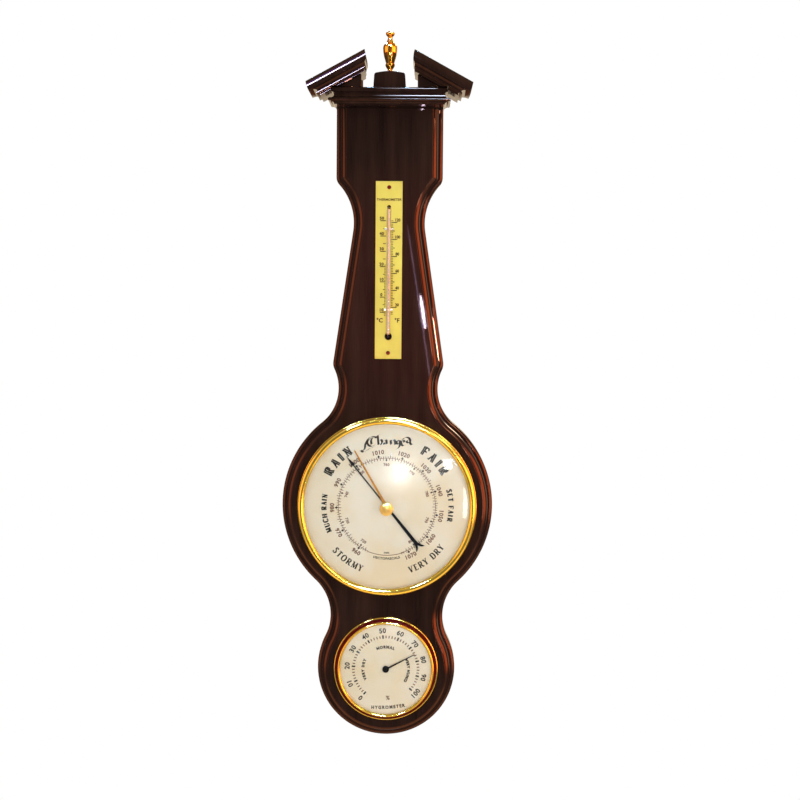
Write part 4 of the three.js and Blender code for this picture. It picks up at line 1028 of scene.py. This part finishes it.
def thermometer_plate():
    """Sheet brass with eased edges, pierced for the bulb and the tube's bent top."""
    lo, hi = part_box("thermometer_plate")
    sheet = rectangle(lo.x, hi.x, lo.z, hi.z)
    body = prism("thermometer_plate_sheet", sheet, *heights("thermometer_plate"))
    bulb, bend = middle("thermometer_bulb")[2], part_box("thermometer_tube")[1].z
    holes = ((BULB_HOLE, bulb), (TUBE_HOLE, bend))
    body = carved(body, *(bore(r, 0, HOLE_DEPTH, (0, z)) for r, z in holes))
    finish_piece(bevelled(body, 0.12), "plate", "thermometer_plate")


def thermometer_tube():
    """A glass rod with a white strip behind its bore, which shows up the fine thread."""
    lo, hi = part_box("thermometer_tube")
    r, high = (hi.x - lo.x) / 2 / MM, (hi.z - lo.z) / MM
    base = (0, middle("thermometer_tube")[1], lo.z)
    outside = bowed((0.62, 0), (r, 0), (r, high - 1.2), (0, high, -0.25))
    inside = bowed((0, high - 2), (0.6, high - 2.4), (0.62, 0.0))
    tube = upright("thermometer_tube_drawn", np.concatenate([outside, inside]), base)
    finish_piece(tube, "glass", "thermometer_tube")
    behind = rectangle(-BACKING_HALF, BACKING_HALF, lo.z + OVER, hi.z - 2 * OVER)
    strip = prism("thermometer_tube_backing", behind, *(-base[1] - h for h in BACKING))
    finish_piece(strip, "opal")


def round_pins():
    """Round-headed pins, pointed at the back."""
    for node in ("plate_pin_upper", "plate_pin_lower"):
        point, head = (h / MM for h in heights(node))
        profile = bowed(
            (0, point), (0.8, point + 0.6), (0.8, head - 0.8), (1.6, head - 0.8),
            (1.7, head - 0.6), (0, head, -0.18),
        )
        finish_piece(turned(f"{node}_domed", profile, (0, middle(node)[2]), 32), "copper", node)


def slotted_screw(node):
    """Wood screw whose slotted head lies at the wall's side."""
    head, point = (h / MM for h in heights(node))
    centre = middle(node)[[0, 2]]
    profile = bowed(
        (0, head), (2.3, head), (2.6, head + 0.15), (SCREW_R, head + 0.45),
        (SCREW_R, point - 1.2), (0, point),
    )
    screw = turned(f"{node}_slotted", profile, centre, 48)
    slot = rectangle(-3, 3, -0.3, 0.3) * MM
    tilt = clockwise(slot, 35 if centre[0] > 0 else -20, centre)
    screw = carved(screw, prism("slot", tilt, (head - 1) * MM, (head + 0.3) * MM))
    finish_piece(screw, "steel", node)


def hanger_plate():
    """Keyhole plate with round ends to its slot, two countersunk holes and eased edges."""
    lo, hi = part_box("hanger_plate")
    back, front = heights("hanger_plate")
    through = (back - OVER, front + OVER)
    level = middle("hanger_plate")[2]
    eye, crown = level - EYE_DOWN, level + CROWN_UP
    plate = prism("hanger_plate_pressed", rectangle(lo.x, hi.x, lo.z, hi.z), back, front)
    slot = rectangle(-SLOT_HALF, SLOT_HALF, eye, crown)
    cutters = [
        bore(EYE_R, *through, (0, eye)),
        bore(SLOT_HALF, *through, (0, crown)),
        prism("slot", slot, *through),
    ]
    for node in HANGER_SCREWS:
        sink = [
            (0, through[0]), (SINK_R, through[0]), (SINK_R, back + 0.2 * MM),
            (SCREW_HOLE_R, back + 0.6 * MM), (SCREW_HOLE_R, through[1]), (0, through[1]),
        ]
        cutters.append(turned("sink", sink, middle(node)[[0, 2]], 48))
    plate = bevelled(carved(plate, *cutters), 0.15)
    finish_piece(plate, "steel", "hanger_plate")


def barometer_pan():
    """Drawn tinplate pan: a flange, straight walls, and two pressed rings in its floor."""
    back, front = (h / MM for h in heights("barometer_pan"))
    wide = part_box("barometer_pan")[1].x / MM
    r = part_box("barometer_bezel")[1].x / MM - PAN_INSET
    profile = bowed(
        (0, back), (22, back), (24, back + 0.5), (26, back), (52, back),
        (54, back + 0.5), (56, back), (r - 1, back), (r, back + 1, -0.2),
        (r, front - 0.9), (wide, front - 0.9), (wide, front), (r - 0.9, front),
        (r - 0.9, back + 0.9), (0, back + 0.9),
    )
    pan = turned("barometer_pan_drawn", profile, BAROMETER, 160)
    hole = bore(DRIVER_HOLE_R, 0, 4 * OVER, middle("adjusting_screw")[[0, 2]])
    pan = carved(pan, hole)
    finish_piece(pan, "tinplate", "barometer_pan")


class STATION_OT_thermometer(bpy.types.Operator):
    """Builds the thermometer's plate, tube and pins"""

    bl_idname = "station.thermometer"
    bl_label = "Thermometer"

    def execute(self, context):
        thermometer_plate()
        thermometer_tube()
        round_pins()
        return {"FINISHED"}


class STATION_OT_back_fittings(bpy.types.Operator):
    """Builds the hanger plate, its screws and the barometer's pan"""

    bl_idname = "station.back_fittings"
    bl_label = "Back fittings"

    def execute(self, context):
        hanger_plate()
        for node in HANGER_SCREWS:
            slotted_screw(node)
        barometer_pan()
        return {"FINISHED"}


# Printed scales

INK_T = 0.03 * MM
CAP_PER_SIZE = 0.7


def bent(flat, radius):
    """Points along a circle: (x, y) goes to ((R + y) sin(x / R), (R + y) cos(x / R) - R).

    A negative radius curves the line the other way.
    """
    angle, reach = flat[:, 0] / radius, radius + flat[:, 1]
    return np.column_stack([reach * np.sin(angle), reach * np.cos(angle) - radius])


def on_circle(r, degrees, inward):
    """Place, turn and bend of a word on the dial's own circle, its tops outward or inward."""
    a = math.radians(degrees)
    place = (r * math.sin(a), r * math.cos(a))
    return place, degrees + 180 if inward else degrees, -r if inward else r


class Print:
    """Gathers the marks of one ink, in place, and makes one piece of them."""

    def __init__(self, dial, centre, lift=0.0):
        self.height, self.centre = heights(dial)[1] + lift, np.asarray(centre)
        self.verts, self.faces, self.count = [], [], 0

    def put(self, flat, depth, faces):
        """Marks given as flat points (x, z), how far each stands off the face, and faces."""
        flat = flat + self.centre
        self.verts.append(np.column_stack([flat[:, 0], -(self.height + depth), flat[:, 1]]))
        self.faces += [[v + self.count for v in face] for face in faces]
        self.count += len(flat)

    def strip(self, outline):
        """A flat patch with the ink's thickness, from its corners in metres."""
        n = len(outline)
        self.put(np.tile(outline, (2, 1)), np.repeat([0, INK_T], n), closed_faces(2, n))

    def turned_strip(self, outline, degrees, place=0):
        """A patch from its corners in millimetres, turned clockwise."""
        self.strip(clockwise(np.array(outline) * MM, degrees, np.asarray(place) * MM))

    def tick(self, degrees, r0, r1, width):
        """A radial stroke at a clock angle."""
        half = width / 2
        self.turned_strip([[-half, r0], [half, r0], [half, r1], [-half, r1]], degrees)

    def diamond(self, degrees, r, half):
        tall = half * 1.3
        self.turned_strip([[0, r - tall], [half, r], [0, r + tall], [-half, r]], degrees)

    def ring(self, r, width, start, end):
        """An arc line between two clock angles."""
        a = np.radians(np.linspace(start, end, max(8, int((end - start) / 2))))
        outward = np.column_stack([np.sin(a), np.cos(a)])
        outer, inner = (r + width / 2) * MM * outward, (r - width / 2) * MM * outward
        for i in range(len(a) - 1):
            self.strip(np.array([outer[i], outer[i + 1], inner[i + 1], inner[i]]))

    def word(self, text, cap, place, degrees=0.0, bend=None, spread=1.0, weight=0.0, wide=1.0):
        """Lettering of a given cap height, in millimetres, its middle at a place.

        It is turned clockwise by degrees, and its baseline follows the bend, if any.
        """
        flat, depth, faces = glyphs(text, cap / CAP_PER_SIZE, spread, weight)
        flat = flat * (wide, 1) - (0, cap / 2)
        if bend:
            flat = bent(flat, bend)
        self.put(clockwise(flat * MM, degrees, np.asarray(place) * MM), depth * MM, faces)

    def around(self, text, cap, r, degrees, inward=False, **style):
        """A word on the dial's own circle."""
        self.word(text, cap, *on_circle(r, degrees, inward), **style)

    def roman(self, text, cap, r, degrees, span, inward=False, thick=23, core=False):
        """Seriffed capitals on the dial's own circle that take up a given angle."""
        place, turn, bend = on_circle(r, degrees, inward)
        for outline in roman_outlines(text, cap, math.radians(span) * r, thick, core):
            self.turned_strip(bent(outline, bend), turn, place)

    def piece(self, name, finish):
        finish_piece(new_object(name, np.concatenate(self.verts), self.faces), finish)


THIN_SHARE = 0.44
CORE_SHARE = 0.03
SERIF_HALF, SERIF_T = 14, 9
# Roman capitals on a cap height of 100: advance, then strokes. T is a thick stroke, t a
# thin one, c a curve that swells where it runs upright, and s sets serifs.
ROMAN = {
    "A": "72; t 10,0 36,100; T 36,100 62,0; t 20,35 53,35; s 10,0 62,0",
    "C": "70; c 62,78 50,96 36,98 14,84 8,50 14,16 36,2 52,5 64,24",
    "D": "76; T 15,0 15,100; c 15,97 38,97 60,82 66,50 60,18 38,3 15,3; s 12,0 12,100",
    "E": "62; T 15,0 15,100; t 15,97 50,97 53,80; t 15,52 42,52; t 15,3 52,3 56,22; s 12,0 12,100",
    "F": "60; T 15,0 15,100; t 15,97 58,97 61,76; t 15,52 50,52 50,42; s 15,0 12,100",
    "H": "80; T 15,0 15,100; T 64,0 64,100; t 15,52 64,52; s 15,0 15,100 64,0 64,100",
    "I": "32; T 16,0 16,100; s 16,0 16,100",
    "M": "94; t 14,0 17,100; T 17,100 47,6; t 47,6 77,100; T 77,100 80,0; s 14,0 80,0 13,100 81,100",
    "N": "80; t 15,0 15,100; T 15,100 64,0; t 64,0 64,100; s 15,0 11,100 64,100",
    "O": "80; c 40,98 17,85 8,50 17,15 40,2 63,15 72,50 63,85 40,98",
    "R": "72; T 15,0 15,100; c 15,97 40,97 53,86 54,74 53,62 40,52 15,52; T 34,52 62,2; s 13,0 12,100 66,0",
    "S": "58; c 48,80 40,95 28,98 13,88 13,72 28,57 42,44 47,28 40,8 26,2 13,6 8,24",
    "T": "66; T 33,0 33,100; t 5,80 7,97 59,97 61,80; s 33,0",
    "U": "78; T 15,100 15,30; c 15,32 20,9 39,2 57,9 63,32; t 63,30 63,100; s 15,100 63,100",
    "V": "72; T 8,100 36,0; t 36,0 62,100; s 8,100 62,100",
    "Y": "70; T 8,100 34,46; t 34,46 60,100; T 34,48 34,0; s 8,100 60,100 34,0",
    " ": "36",
}


NIB = (0.9, 0.42)
# The top word in a blackletter hand, pen stroke by pen stroke, in millimetres from the
# dial's centre: a swash, C, h, a, n, g, e and a closing flourish.
CHANGE = """
    -21.7,46.6 -20.2,47.8 -19.0,49.9 -18.6,53.3 -16.7,57.1 -14.3,59.2 -11.2,59.5 -9.0,58.5;
    -22.3,47.8 -20.4,46.3 -17.3,47.8 -14.3,49.8 -11.2,50.9;
    -13.9,58.5 -16.2,56.3 -17.0,54.1 -15.4,51.8 -13.1,51.2 -10.5,52.6; -12.4,58.8 -13.8,56.3 -13.4,52.9;
    -9.3,58.6 -8.0,60.8 -6.5,61.4; -8.2,60.1 -7.8,56.3 -7.4,52.7; -7.4,56.3 -5.5,57.1 -4.4,55.2 -5.5,52.6;
    -3.2,56.2 -1.0,56.7 -0.5,53.3; -0.8,55.0 -2.7,54.4 -2.4,53.2 -0.6,53.8;
    2.7,56.7 3.2,53.0; 3.0,55.9 5.1,57.0 6.4,56.2 6.8,52.9;
    10.4,56.3 8.2,56.3 7.9,54.2 9.4,53.3 10.6,54.7; 10.6,56.3 10.5,52.2 9.1,49.8 7.6,49.1;
    12.2,53.9 14.4,55.2 13.4,56.7 11.8,55.7 11.9,53.3 13.5,51.9 15.7,52.9;
    12.7,57.1 15.0,59.1 18.0,58.8 19.4,56.3 18.0,54.4 16.3,55.6 17.6,57.1; 19.4,56.3 19.4,54.1 20.7,52.9
"""


def pen_strokes(text):
    """Patches swept by a slanting pen nib along smooth strokes."""
    nib = np.array(NIB)
    patches = []
    for stroke in text.split(";"):
        points = [[float(v) for v in pair.split(",")] for pair in stroke.split()]
        line = flowing(points, 4) / MM
        for a, b in zip(line[:-1], line[1:]):
            patches.append(np.array([a - nib, a + nib, b + nib, b - nib]))
    return patches


def ribbon(points, half):
    """Four-cornered patches along a line, given half its width at each point."""
    run = np.gradient(points, axis=0)
    run /= np.linalg.norm(run, axis=1, keepdims=True)
    side = np.column_stack([-run[:, 1], run[:, 0]]) * np.broadcast_to(half, len(points))[:, None]
    left, right = points + side, points - side
    return [np.array([left[i], left[i + 1], right[i + 1], right[i]]) for i in range(len(points) - 1)]


def roman_outlines(text, cap, width, thick, core):
    """Patches of a word that is as wide as asked; core gives the heart of its thick strokes."""
    widths = [float(ROMAN[letter].split(";")[0]) for letter in text]
    scale, thin = cap / 100, thick * THIN_SHARE
    gap = (width / scale - sum(widths)) / (len(text) - 1)
    x = -width / scale / 2
    patches = []
    for letter, advance in zip(text, widths):
        for stroke in ROMAN[letter].split(";")[1:]:
            kind, *pairs = stroke.split()
            points = np.array([[float(v) for v in pair.split(",")] for pair in pairs]) + (x, -50)
            if kind == "s":
                if not core:
                    reach = (SERIF_HALF, 0)
                    for p in points:
                        inside = np.sign(p[1]) * SERIF_T / 2
                        line = np.array([p - reach, p + reach]) - (0, inside)
                        patches += ribbon(line, SERIF_T / 2)
            elif kind == "T":
                patches += ribbon(points, thick * (CORE_SHARE if core else 0.5))
            elif not core and kind == "t":
                for pair in zip(points[:-1], points[1:]):
                    patches += ribbon(np.array(pair), thin / 2)
            elif not core:
                line = flowing(points, 5) / MM
                run = np.gradient(line, axis=0)
                upright_share = np.abs(run[:, 1]) / np.linalg.norm(run, axis=1)
                patches += ribbon(line, (thin + (thick - thin) * upright_share) / 2)
        x += advance + gap
    return [patch * scale for patch in patches]


def glyphs(text, size, spread, weight):
    """A word in the built-in plain face as (points, depth, faces), centred on x."""
    curve = bpy.data.curves.new("word", "FONT")
    curve.body = text
    curve.size = size
    curve.align_x = "CENTER"
    curve.space_character = spread
    curve.offset = weight
    curve.extrude = INK_T / MM / 2
    curve.resolution_u = 3
    obj = bpy.data.objects.new("word", curve)
    bpy.context.scene.collection.objects.link(obj)
    graph = bpy.context.evaluated_depsgraph_get()
    mesh = bpy.data.meshes.new_from_object(obj.evaluated_get(graph))
    points = np.empty(len(mesh.vertices) * 3)
    mesh.vertices.foreach_get("co", points)
    points = points.reshape(-1, 3)
    faces = [list(face.vertices) for face in mesh.polygons]
    bpy.data.objects.remove(obj)
    bpy.data.curves.remove(curve)
    bpy.data.meshes.remove(mesh)
    return points[:, :2], points[:, 2] + INK_T / MM / 2, faces


HPA_TOP = 1013.6
DEG_PER_HPA = 2.73
HPA_PER_MMHG = 1.33322


def pressure_angle(hpa):
    """Clock angle of a pressure on the barometer's dial."""
    return (hpa - HPA_TOP) * DEG_PER_HPA


HPA_SCALE = (956, 1073)
MMHG_SCALE = (718, 803)
TENS_HPA = range(960, 1071, 10)
TENS_MMHG = range(720, 801, 10)
UPPER_HALF = 110


def barometer_scale():
    """Hectopascals outside, millimetres of mercury inside, weather words and the inline."""
    scale, words = Print("barometer_dial", BAROMETER), Print("barometer_dial", BAROMETER)
    low, high = HPA_SCALE
    scale.ring(41.3, 0.34, pressure_angle(low), pressure_angle(high))
    scale.ring(41.8, 0.5, 159, 202)
    for tens, unit, cap, r, spread, weight, mark in (
        (TENS_HPA, 1, 3.4, 46.7, 1.1, 0.17, (42.9, 1.1)),
        (TENS_MMHG, HPA_PER_MMHG, 2.3, 35.8, 1.05, 0.12, (39.7, 0.9)),
    ):
        for value in tens:
            a = pressure_angle(value * unit)
            inward = abs(a) > UPPER_HALF
            scale.around(str(value), cap, r, a, inward, spread=spread, weight=weight)
            words.diamond(a, *mark)
    for hpa in range(low, high + 1):
        scale.tick(pressure_angle(hpa), 41.0, 42.8 if hpa % 5 else 43.6, 0.5)
    for mmhg in range(MMHG_SCALE[0], MMHG_SCALE[1] + 1):
        scale.tick(pressure_angle(mmhg * HPA_PER_MMHG), 39.4 if mmhg % 5 else 38.6, 41.4, 0.5)
    scale.piece("barometer_scale_print", "ink_scale")
    words.roman("STORMY", 5.4, 57.4, 215.5, 29.5, inward=True)
    words.roman("VERY DRY", 5.4, 57.5, 142.8, 35.5, inward=True)
    words.roman("MUCH RAIN", 4.3, 53.5, 263, 36, thick=32)
    words.roman("SET FAIR", 4.3, 54.5, 88.5, 29, thick=32)
    inline = Print("barometer_dial", BAROMETER, 2 * INK_T)
    for ink, core in ((words, False), (inline, True)):
        ink.roman("RAIN", 7.6, 57.5, 312.8, 29, thick=36, core=core)
        ink.roman("FAIR", 7.6, 57.2, 45.6, 28, thick=36, core=core)
    for patch in pen_strokes(CHANGE):
        words.strip(patch * MM)
    words.around("HECTOPASCALS", 2.0, 44.6, 180, inward=True, spread=1.12, weight=0.1)
    words.around("mm", 2.0, 39.4, 180, inward=True, weight=0.08)
    words.piece("barometer_words_print", "ink")
    inline.piece("barometer_inline_print", "card")


ZERO_HUMIDITY = -139.8
DEG_PER_TEN = 26.92


def hygrometer_scale():
    """Relative humidity from 0 to 100 with its words."""
    bold, fine = Print("hygrometer_dial", HYGROMETER), Print("hygrometer_dial", HYGROMETER)
    for tens in range(11):
        a = ZERO_HUMIDITY + DEG_PER_TEN * tens
        bold.tick(a, 26.2, 29.2, 1.3)
        bold.around(str(10 * tens), 4.0, 33.2, a, inward=tens in (0, 1, 10), spread=1.1, weight=0.18)
        for part in range(1, 5) if tens < 10 else ():
            fine.tick(a + DEG_PER_TEN * part / 5, 26.6, 28.8, 0.85)
    bold.around("NORMAL", 2.2, 19.0, 359, spread=1.35, weight=0.23)
    bold.around("VERY DRY", 2.1, 19.6, 268, spread=1.45, weight=0.23)
    bold.around("VERY HUMID", 2.1, 19.6, 94, spread=1.25, weight=0.23)
    bold.word("HYGROMETER", 2.6, (2.2, -33.2), -4, bend=-120, spread=1.42, weight=0.2, wide=0.92)
    fine.word("%", 3.4, (2.0, -25.0), weight=0.1)
    bold.piece("hygrometer_scale_print", "ink")
    fine.piece("hygrometer_fine_print", "ink_scale")


FIFTY_CELSIUS = -33.0
PER_CELSIUS = 1.28


def thermometer_scale():
    """Both scales, measured down from the plate's top: Celsius left, Fahrenheit right."""
    marks = Print("thermometer_plate", (0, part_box("thermometer_plate")[1].z))

    def line(up, x0, x1, degrees):
        half = (0.3 if degrees % 10 else 0.375) * MM
        marks.strip(rectangle(x0 * MM, x1 * MM, up * MM - half, up * MM + half))

    for celsius in range(-12, 51):
        up = FIFTY_CELSIUS - (50 - celsius) * PER_CELSIUS
        if celsius % 5 == 0 or celsius < 22:
            reach = -3.6 if celsius % 5 else -4.8 if celsius % 10 else -7.2
            line(up, reach, -2.5, celsius)
        if celsius % 10 == 0:
            marks.word(str(abs(celsius)), 2.4, (-6.0, up + 2.1), spread=1.1, weight=0.17)
    for fahrenheit in range(12, 123, 2):
        up = FIFTY_CELSIUS - (50 - (fahrenheit - 32) / 1.8) * PER_CELSIUS
        line(up, 2.0, 3.6 if fahrenheit % 10 else 5.0 if fahrenheit % 20 else 7.0, fahrenheit)
        if fahrenheit % 20 == 0:
            marks.word(str(fahrenheit), 2.4, (7.2, up + 2.1), weight=0.17, wide=0.9)
    marks.word("°C", 3.5, (-7.3, -116.5), weight=0.15)
    marks.word("°F", 3.5, (7.3, -116.5), weight=0.15)
    marks.word("THERMOMETER", 2.0, (0, -15.3), spread=1.05, weight=0.08)
    marks.piece("thermometer_scale_print", "ink_plate")


class STATION_OT_scales(bpy.types.Operator):
    """Prints the scales on both dials and on the thermometer's plate"""

    bl_idname = "station.scales"
    bl_label = "Printed scales"

    def execute(self, context):
        barometer_scale()
        hygrometer_scale()
        thermometer_scale()
        return {"FINISHED"}


OTHER_FINISHES = {
    "thermometer_bulb": "bulb", "tube_clip_upper": "nickel", "tube_clip_lower": "nickel",
}


class STATION_OT_metalwork(bpy.types.Operator):
    """Gives the frame's own pieces the finish of their record slot"""

    bl_idname = "station.metalwork"
    bl_label = "Frame finishes"

    def execute(self, context):
        for part in frame["record"]["subparts"]:
            node = part["node"]
            obj = frame["nodes"][node]
            finish = OTHER_FINISHES.get(node, SLOT_FINISHES[part["material_slot"]][0])
            if not obj.material_slots:
                obj.data.materials.append(MATERIALS[finish])
            for holder in obj.material_slots:
                holder.material = MATERIALS[finish]
        return {"FINISHED"}


# The stage


# What mirrors see beside the plain room, outside the picture: each box is given by the
# axes on which it fades in, from and to which value, and by its light.
GLOSSY_BOXES = (
    ((("Y", -0.9945, -0.9995),), (0.3, 0.14, 0.18)),
    ((("X", 0.4, 0.62), ("Y", 0.15, -0.05), ("Z", 0.5, 0.3), ("Z", -0.34, -0.12)), (6, 1.7, 0.42)),
    ((("X", -0.5, -0.7), ("Y", 0.15, -0.05), ("Z", 0.5, 0.3), ("Z", -0.34, -0.12)), (1.7, 0.6, 0.2)),
    ((("Z", -0.4, -0.6), ("Y", 0.15, -0.05)), (0.9, 0.5, 0.18)),
    ((("Z", 0.58, 0.6), ("Z", 0.76, 0.74), ("X", 0.24, 0.2), ("X", -0.034, 0)), (60, 150, 270)),
    ((("Z", 0.6, 0.62), ("Z", 0.7, 0.68), ("X", -0.28, -0.31), ("X", -0.42, -0.4)), (90, 180, 320)),
    ((("Z", 0.7, 0.73), ("Z", 0.79, 0.76), ("X", -0.34, -0.38), ("X", -0.5, -0.46)), (3, 2.4, 16)),
    ((("X", -0.15, -0.3), ("Y", 0.3, 0.5)), (-0.7, -0.66, -0.48)),
    ((("Z", -0.15, -0.3), ("Y", 0.3, 0.5), ("X", -0.3, -0.15)), (-0.7, -0.66, -0.48)),
    ((("Y", 0.93, 0.97), ("X", -0.03, 0), ("Z", 0.0, 0.03), ("X", 0.12, 0.11)), (-0.8, -0.67, -0.48)),
    ((("Z", 0.35, 0.45), ("Z", 0.62, 0.55), ("X", 0.35, 0.45), ("X", 0.62, 0.55)), (12, 10, 7)),
)
# What mirrors see of the plain room, from behind the camera to behind the object.
ROOM = (
    (0.05, 0.02), (0.13, (0.3, 0.25, 0.14)), (0.3, (0.6, 0.48, 0.26)), (0.42, (0.5, 0.38, 0.19)),
    (0.5, (0.28, 0.14, 0.05)), (0.7, (0.22, 0.09, 0.04)), (0.9, (0.9, 0.72, 0.5)),
)
WHITE = (1, 1, 1)


def vector_math(tree, operation, values, links):
    return add(tree, "ShaderNodeVectorMath", values, links, operation=operation).outputs["Vector"]


def scalar_math(tree, operation, a, b):
    return add(tree, "ShaderNodeMath", links={0: a, 1: b}, operation=operation).outputs["Value"]


def world_light():
    """White behind the object, panels at the sides, a darker room behind the camera.

    A panel with a glow below nothing darkens the room there, never below black.
    """
    world = bpy.data.worlds.new("Studio")
    bpy.context.scene.world = world
    world.use_nodes = True
    tree = world.node_tree
    tree.nodes.clear()
    direction = add(tree, "ShaderNodeTexCoord").outputs["Generated"]
    parts = add(tree, "ShaderNodeSeparateXYZ", links={"Vector": direction}).outputs
    across = add(
        tree, "ShaderNodeMapRange", {"From Min": -1.0, "From Max": 1.0}, {"Value": parts["Y"]}
    )
    mirror = ramp(tree, across.outputs["Result"], *ROOM)
    for limits, glow in GLOSSY_BOXES:
        share = None
        for axis, start, full in limits:
            part = add(
                tree, "ShaderNodeMapRange", {"From Min": start, "From Max": full},
                {"Value": parts[axis]}, interpolation_type="SMOOTHSTEP",
            ).outputs["Result"]
            share = part if share is None else scalar_math(tree, "MULTIPLY", share, part)
        box = vector_math(tree, "SCALE", {0: glow}, {"Scale": share})
        mirror = vector_math(tree, "ADD", {}, {0: mirror, 1: box})
    mirror = vector_math(tree, "MAXIMUM", {1: (0, 0, 0)}, {0: mirror})
    path = add(tree, "ShaderNodeLightPath").outputs
    lit = add(
        tree, "ShaderNodeMix", {6: WHITE}, {0: path["Is Glossy Ray"], 7: mirror}, data_type="RGBA"
    ).outputs[2]
    straight = scalar_math(tree, "MAXIMUM", path["Is Camera Ray"], path["Is Transmission Ray"])
    seen = add(tree, "ShaderNodeMix", {7: WHITE}, {0: straight, 6: lit}, data_type="RGBA").outputs[2]
    shade = add(tree, "ShaderNodeBackground", {"Strength": 1.0}, {"Color": seen})
    add(tree, "ShaderNodeOutputWorld", links={"Surface": shade.outputs[0]})


# Each lamp's name, shape, place, aim, size, radiance, colour and turn in degrees.
LAMPS = (
    ("Flash", "RECTANGLE", (0.086, -1.28, -0.17), (0.01, 0, -0.25), (0.05, 0.07), 250, "#ffffff", 0),
    ("Streak", "ELLIPSE", (0.031, -1.28, -0.129), (0.03, 0, -0.12), (0.004, 0.058), 220, "#84b8ff", 9),
    ("Trail", "ELLIPSE", (0.0285, -1.28, -0.14), (0.03, 0, -0.12), (0.0013, 0.32), 16, "#86a8ff", 9),
    ("Window", "RECTANGLE", (0.635, -1.183, -0.425), (0.05, 0, -0.28), (0.085, 0.25), 11, "#ffffff", 0),
    ("Small window", "RECTANGLE", (0.472, -1.238, -0.103), (0.05, 0, -0.25), (0.07, 0.08), 26,
     "#ffffff", 0),
)


def area_light(name, shape, place, target, size, radiance, tint, turn):
    """A soft box of a given brightness: its power is pi times its sides times its radiance."""
    lamp = bpy.data.lights.new(name, "AREA")
    lamp.shape = shape
    lamp.size, lamp.size_y = size
    lamp.energy = math.pi * size[0] * size[1] * radiance
    lamp.color = linear(tint)
    obj = bpy.data.objects.new(name, lamp)
    bpy.context.scene.collection.objects.link(obj)
    aim = (Vector(target) - Vector(place)).to_track_quat("-Z", "Y").to_matrix().to_4x4()
    obj.matrix_world = Matrix.Translation(place) @ aim @ Matrix.Rotation(math.radians(turn), 4, "Z")
    obj.visible_camera = False


CAMERA_PLACE = (27.32 * MM, -1280 * MM, 175.21 * MM + BAROMETER[1])
CAMERA_LENS = 67.1
CAMERA_YAW = math.radians(0.769)
CAMERA_PITCH = math.radians(-3.838)
CAMERA_ROLL = math.radians(0.45)


def camera():
    """Looks along +Y, a little to the left and down, with a slight roll."""
    cam = bpy.data.objects.new("Camera", bpy.data.cameras.new("Camera"))
    bpy.context.scene.collection.objects.link(cam)
    cam.data.sensor_width = 36
    cam.data.lens = CAMERA_LENS
    cam.data.clip_start = 0.05
    base = Matrix(((1, 0, 0), (0, 0, -1), (0, 1, 0))).to_4x4()
    turn = Matrix.Rotation(CAMERA_YAW, 4, "Z") @ Matrix.Rotation(CAMERA_PITCH, 4, "X") @ base
    roll = Matrix.Rotation(CAMERA_ROLL, 4, "Z")
    cam.matrix_world = Matrix.Translation(CAMERA_PLACE) @ turn @ roll
    bpy.context.scene.camera = cam


FLOOR_HALF = 0.5
FLOOR_DOWN = 3


def pale_floor():
    """A plain pale floor well below the hanging object."""
    half, z = FLOOR_HALF, cad_box[0].z - FLOOR_DOWN
    verts = [[-half, -half, z], [half, -half, z], [half, half, z], [-half, half, z]]
    floor = new_object("floor", verts, [[0, 1, 2, 3]])
    material, tree = new_material("Floor, pale matt")
    pale = ramp(tree, noise(tree, 3, 4), (0.3, 0.93), (0.7, 0.96))
    matt = add(tree, "ShaderNodeBsdfPrincipled", {"Roughness": 0.9}, {"Base Color": pale})
    white = add(tree, "ShaderNodeEmission", {"Color": WHITE, "Strength": 1.0})
    seen = add(tree, "ShaderNodeLightPath").outputs["Is Camera Ray"]
    mix = add(tree, "ShaderNodeMixShader", links={0: seen, 1: matt.outputs[0], 2: white.outputs[0]})
    output(tree, mix.outputs[0])
    floor.data.materials.append(material)


class STATION_OT_stage(bpy.types.Operator):
    """Sets the floor, the light and the camera"""

    bl_idname = "station.stage"
    bl_label = "Stage"

    def execute(self, context):
        context.scene.view_settings.view_transform = "Standard"
        world_light()
        camera()
        pale_floor()
        for lamp in LAMPS:
            area_light(*lamp)
        return {"FINISHED"}


class STATION_PT_panel(bpy.types.Panel):
    """Sizes, colours and steps of the weather station"""

    bl_label = "Weather station"
    bl_space_type = "VIEW_3D"
    bl_region_type = "UI"
    bl_category = "Weather station"

    def draw(self, context):
        layout = self.layout
        for group in (context.scene.station_case, context.scene.station_colours):
            box = layout.box()
            for key in group.__annotations__:
                box.prop(group, key)
        for operator in OPERATORS:
            layout.operator(operator.bl_idname)


OPERATORS = (
    STATION_OT_stage,
    STATION_OT_metalwork,
    STATION_OT_case,
    STATION_OT_pediment,
    STATION_OT_finial,
    STATION_OT_thermometer,
    STATION_OT_barometer,
    STATION_OT_hygrometer,
    STATION_OT_back_fittings,
    STATION_OT_scales,
)
CLASSES = (CaseSizes, FinishColours, *OPERATORS, STATION_PT_panel)


def register():
    for cls in CLASSES:
        bpy.utils.register_class(cls)
    bpy.types.Scene.station_case = PointerProperty(type=CaseSizes)
    bpy.types.Scene.station_colours = PointerProperty(type=FinishColours)


def unregister():
    del bpy.types.Scene.station_case
    del bpy.types.Scene.station_colours
    for cls in reversed(CLASSES):
        bpy.utils.unregister_class(cls)


def main():
    """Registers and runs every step."""
    register()
    MATERIALS.update(make_materials())
    for operator in OPERATORS:
        group, name = operator.bl_idname.split(".")
        getattr(getattr(bpy.ops, group), name)()


if __name__ == "__main__":
    main()
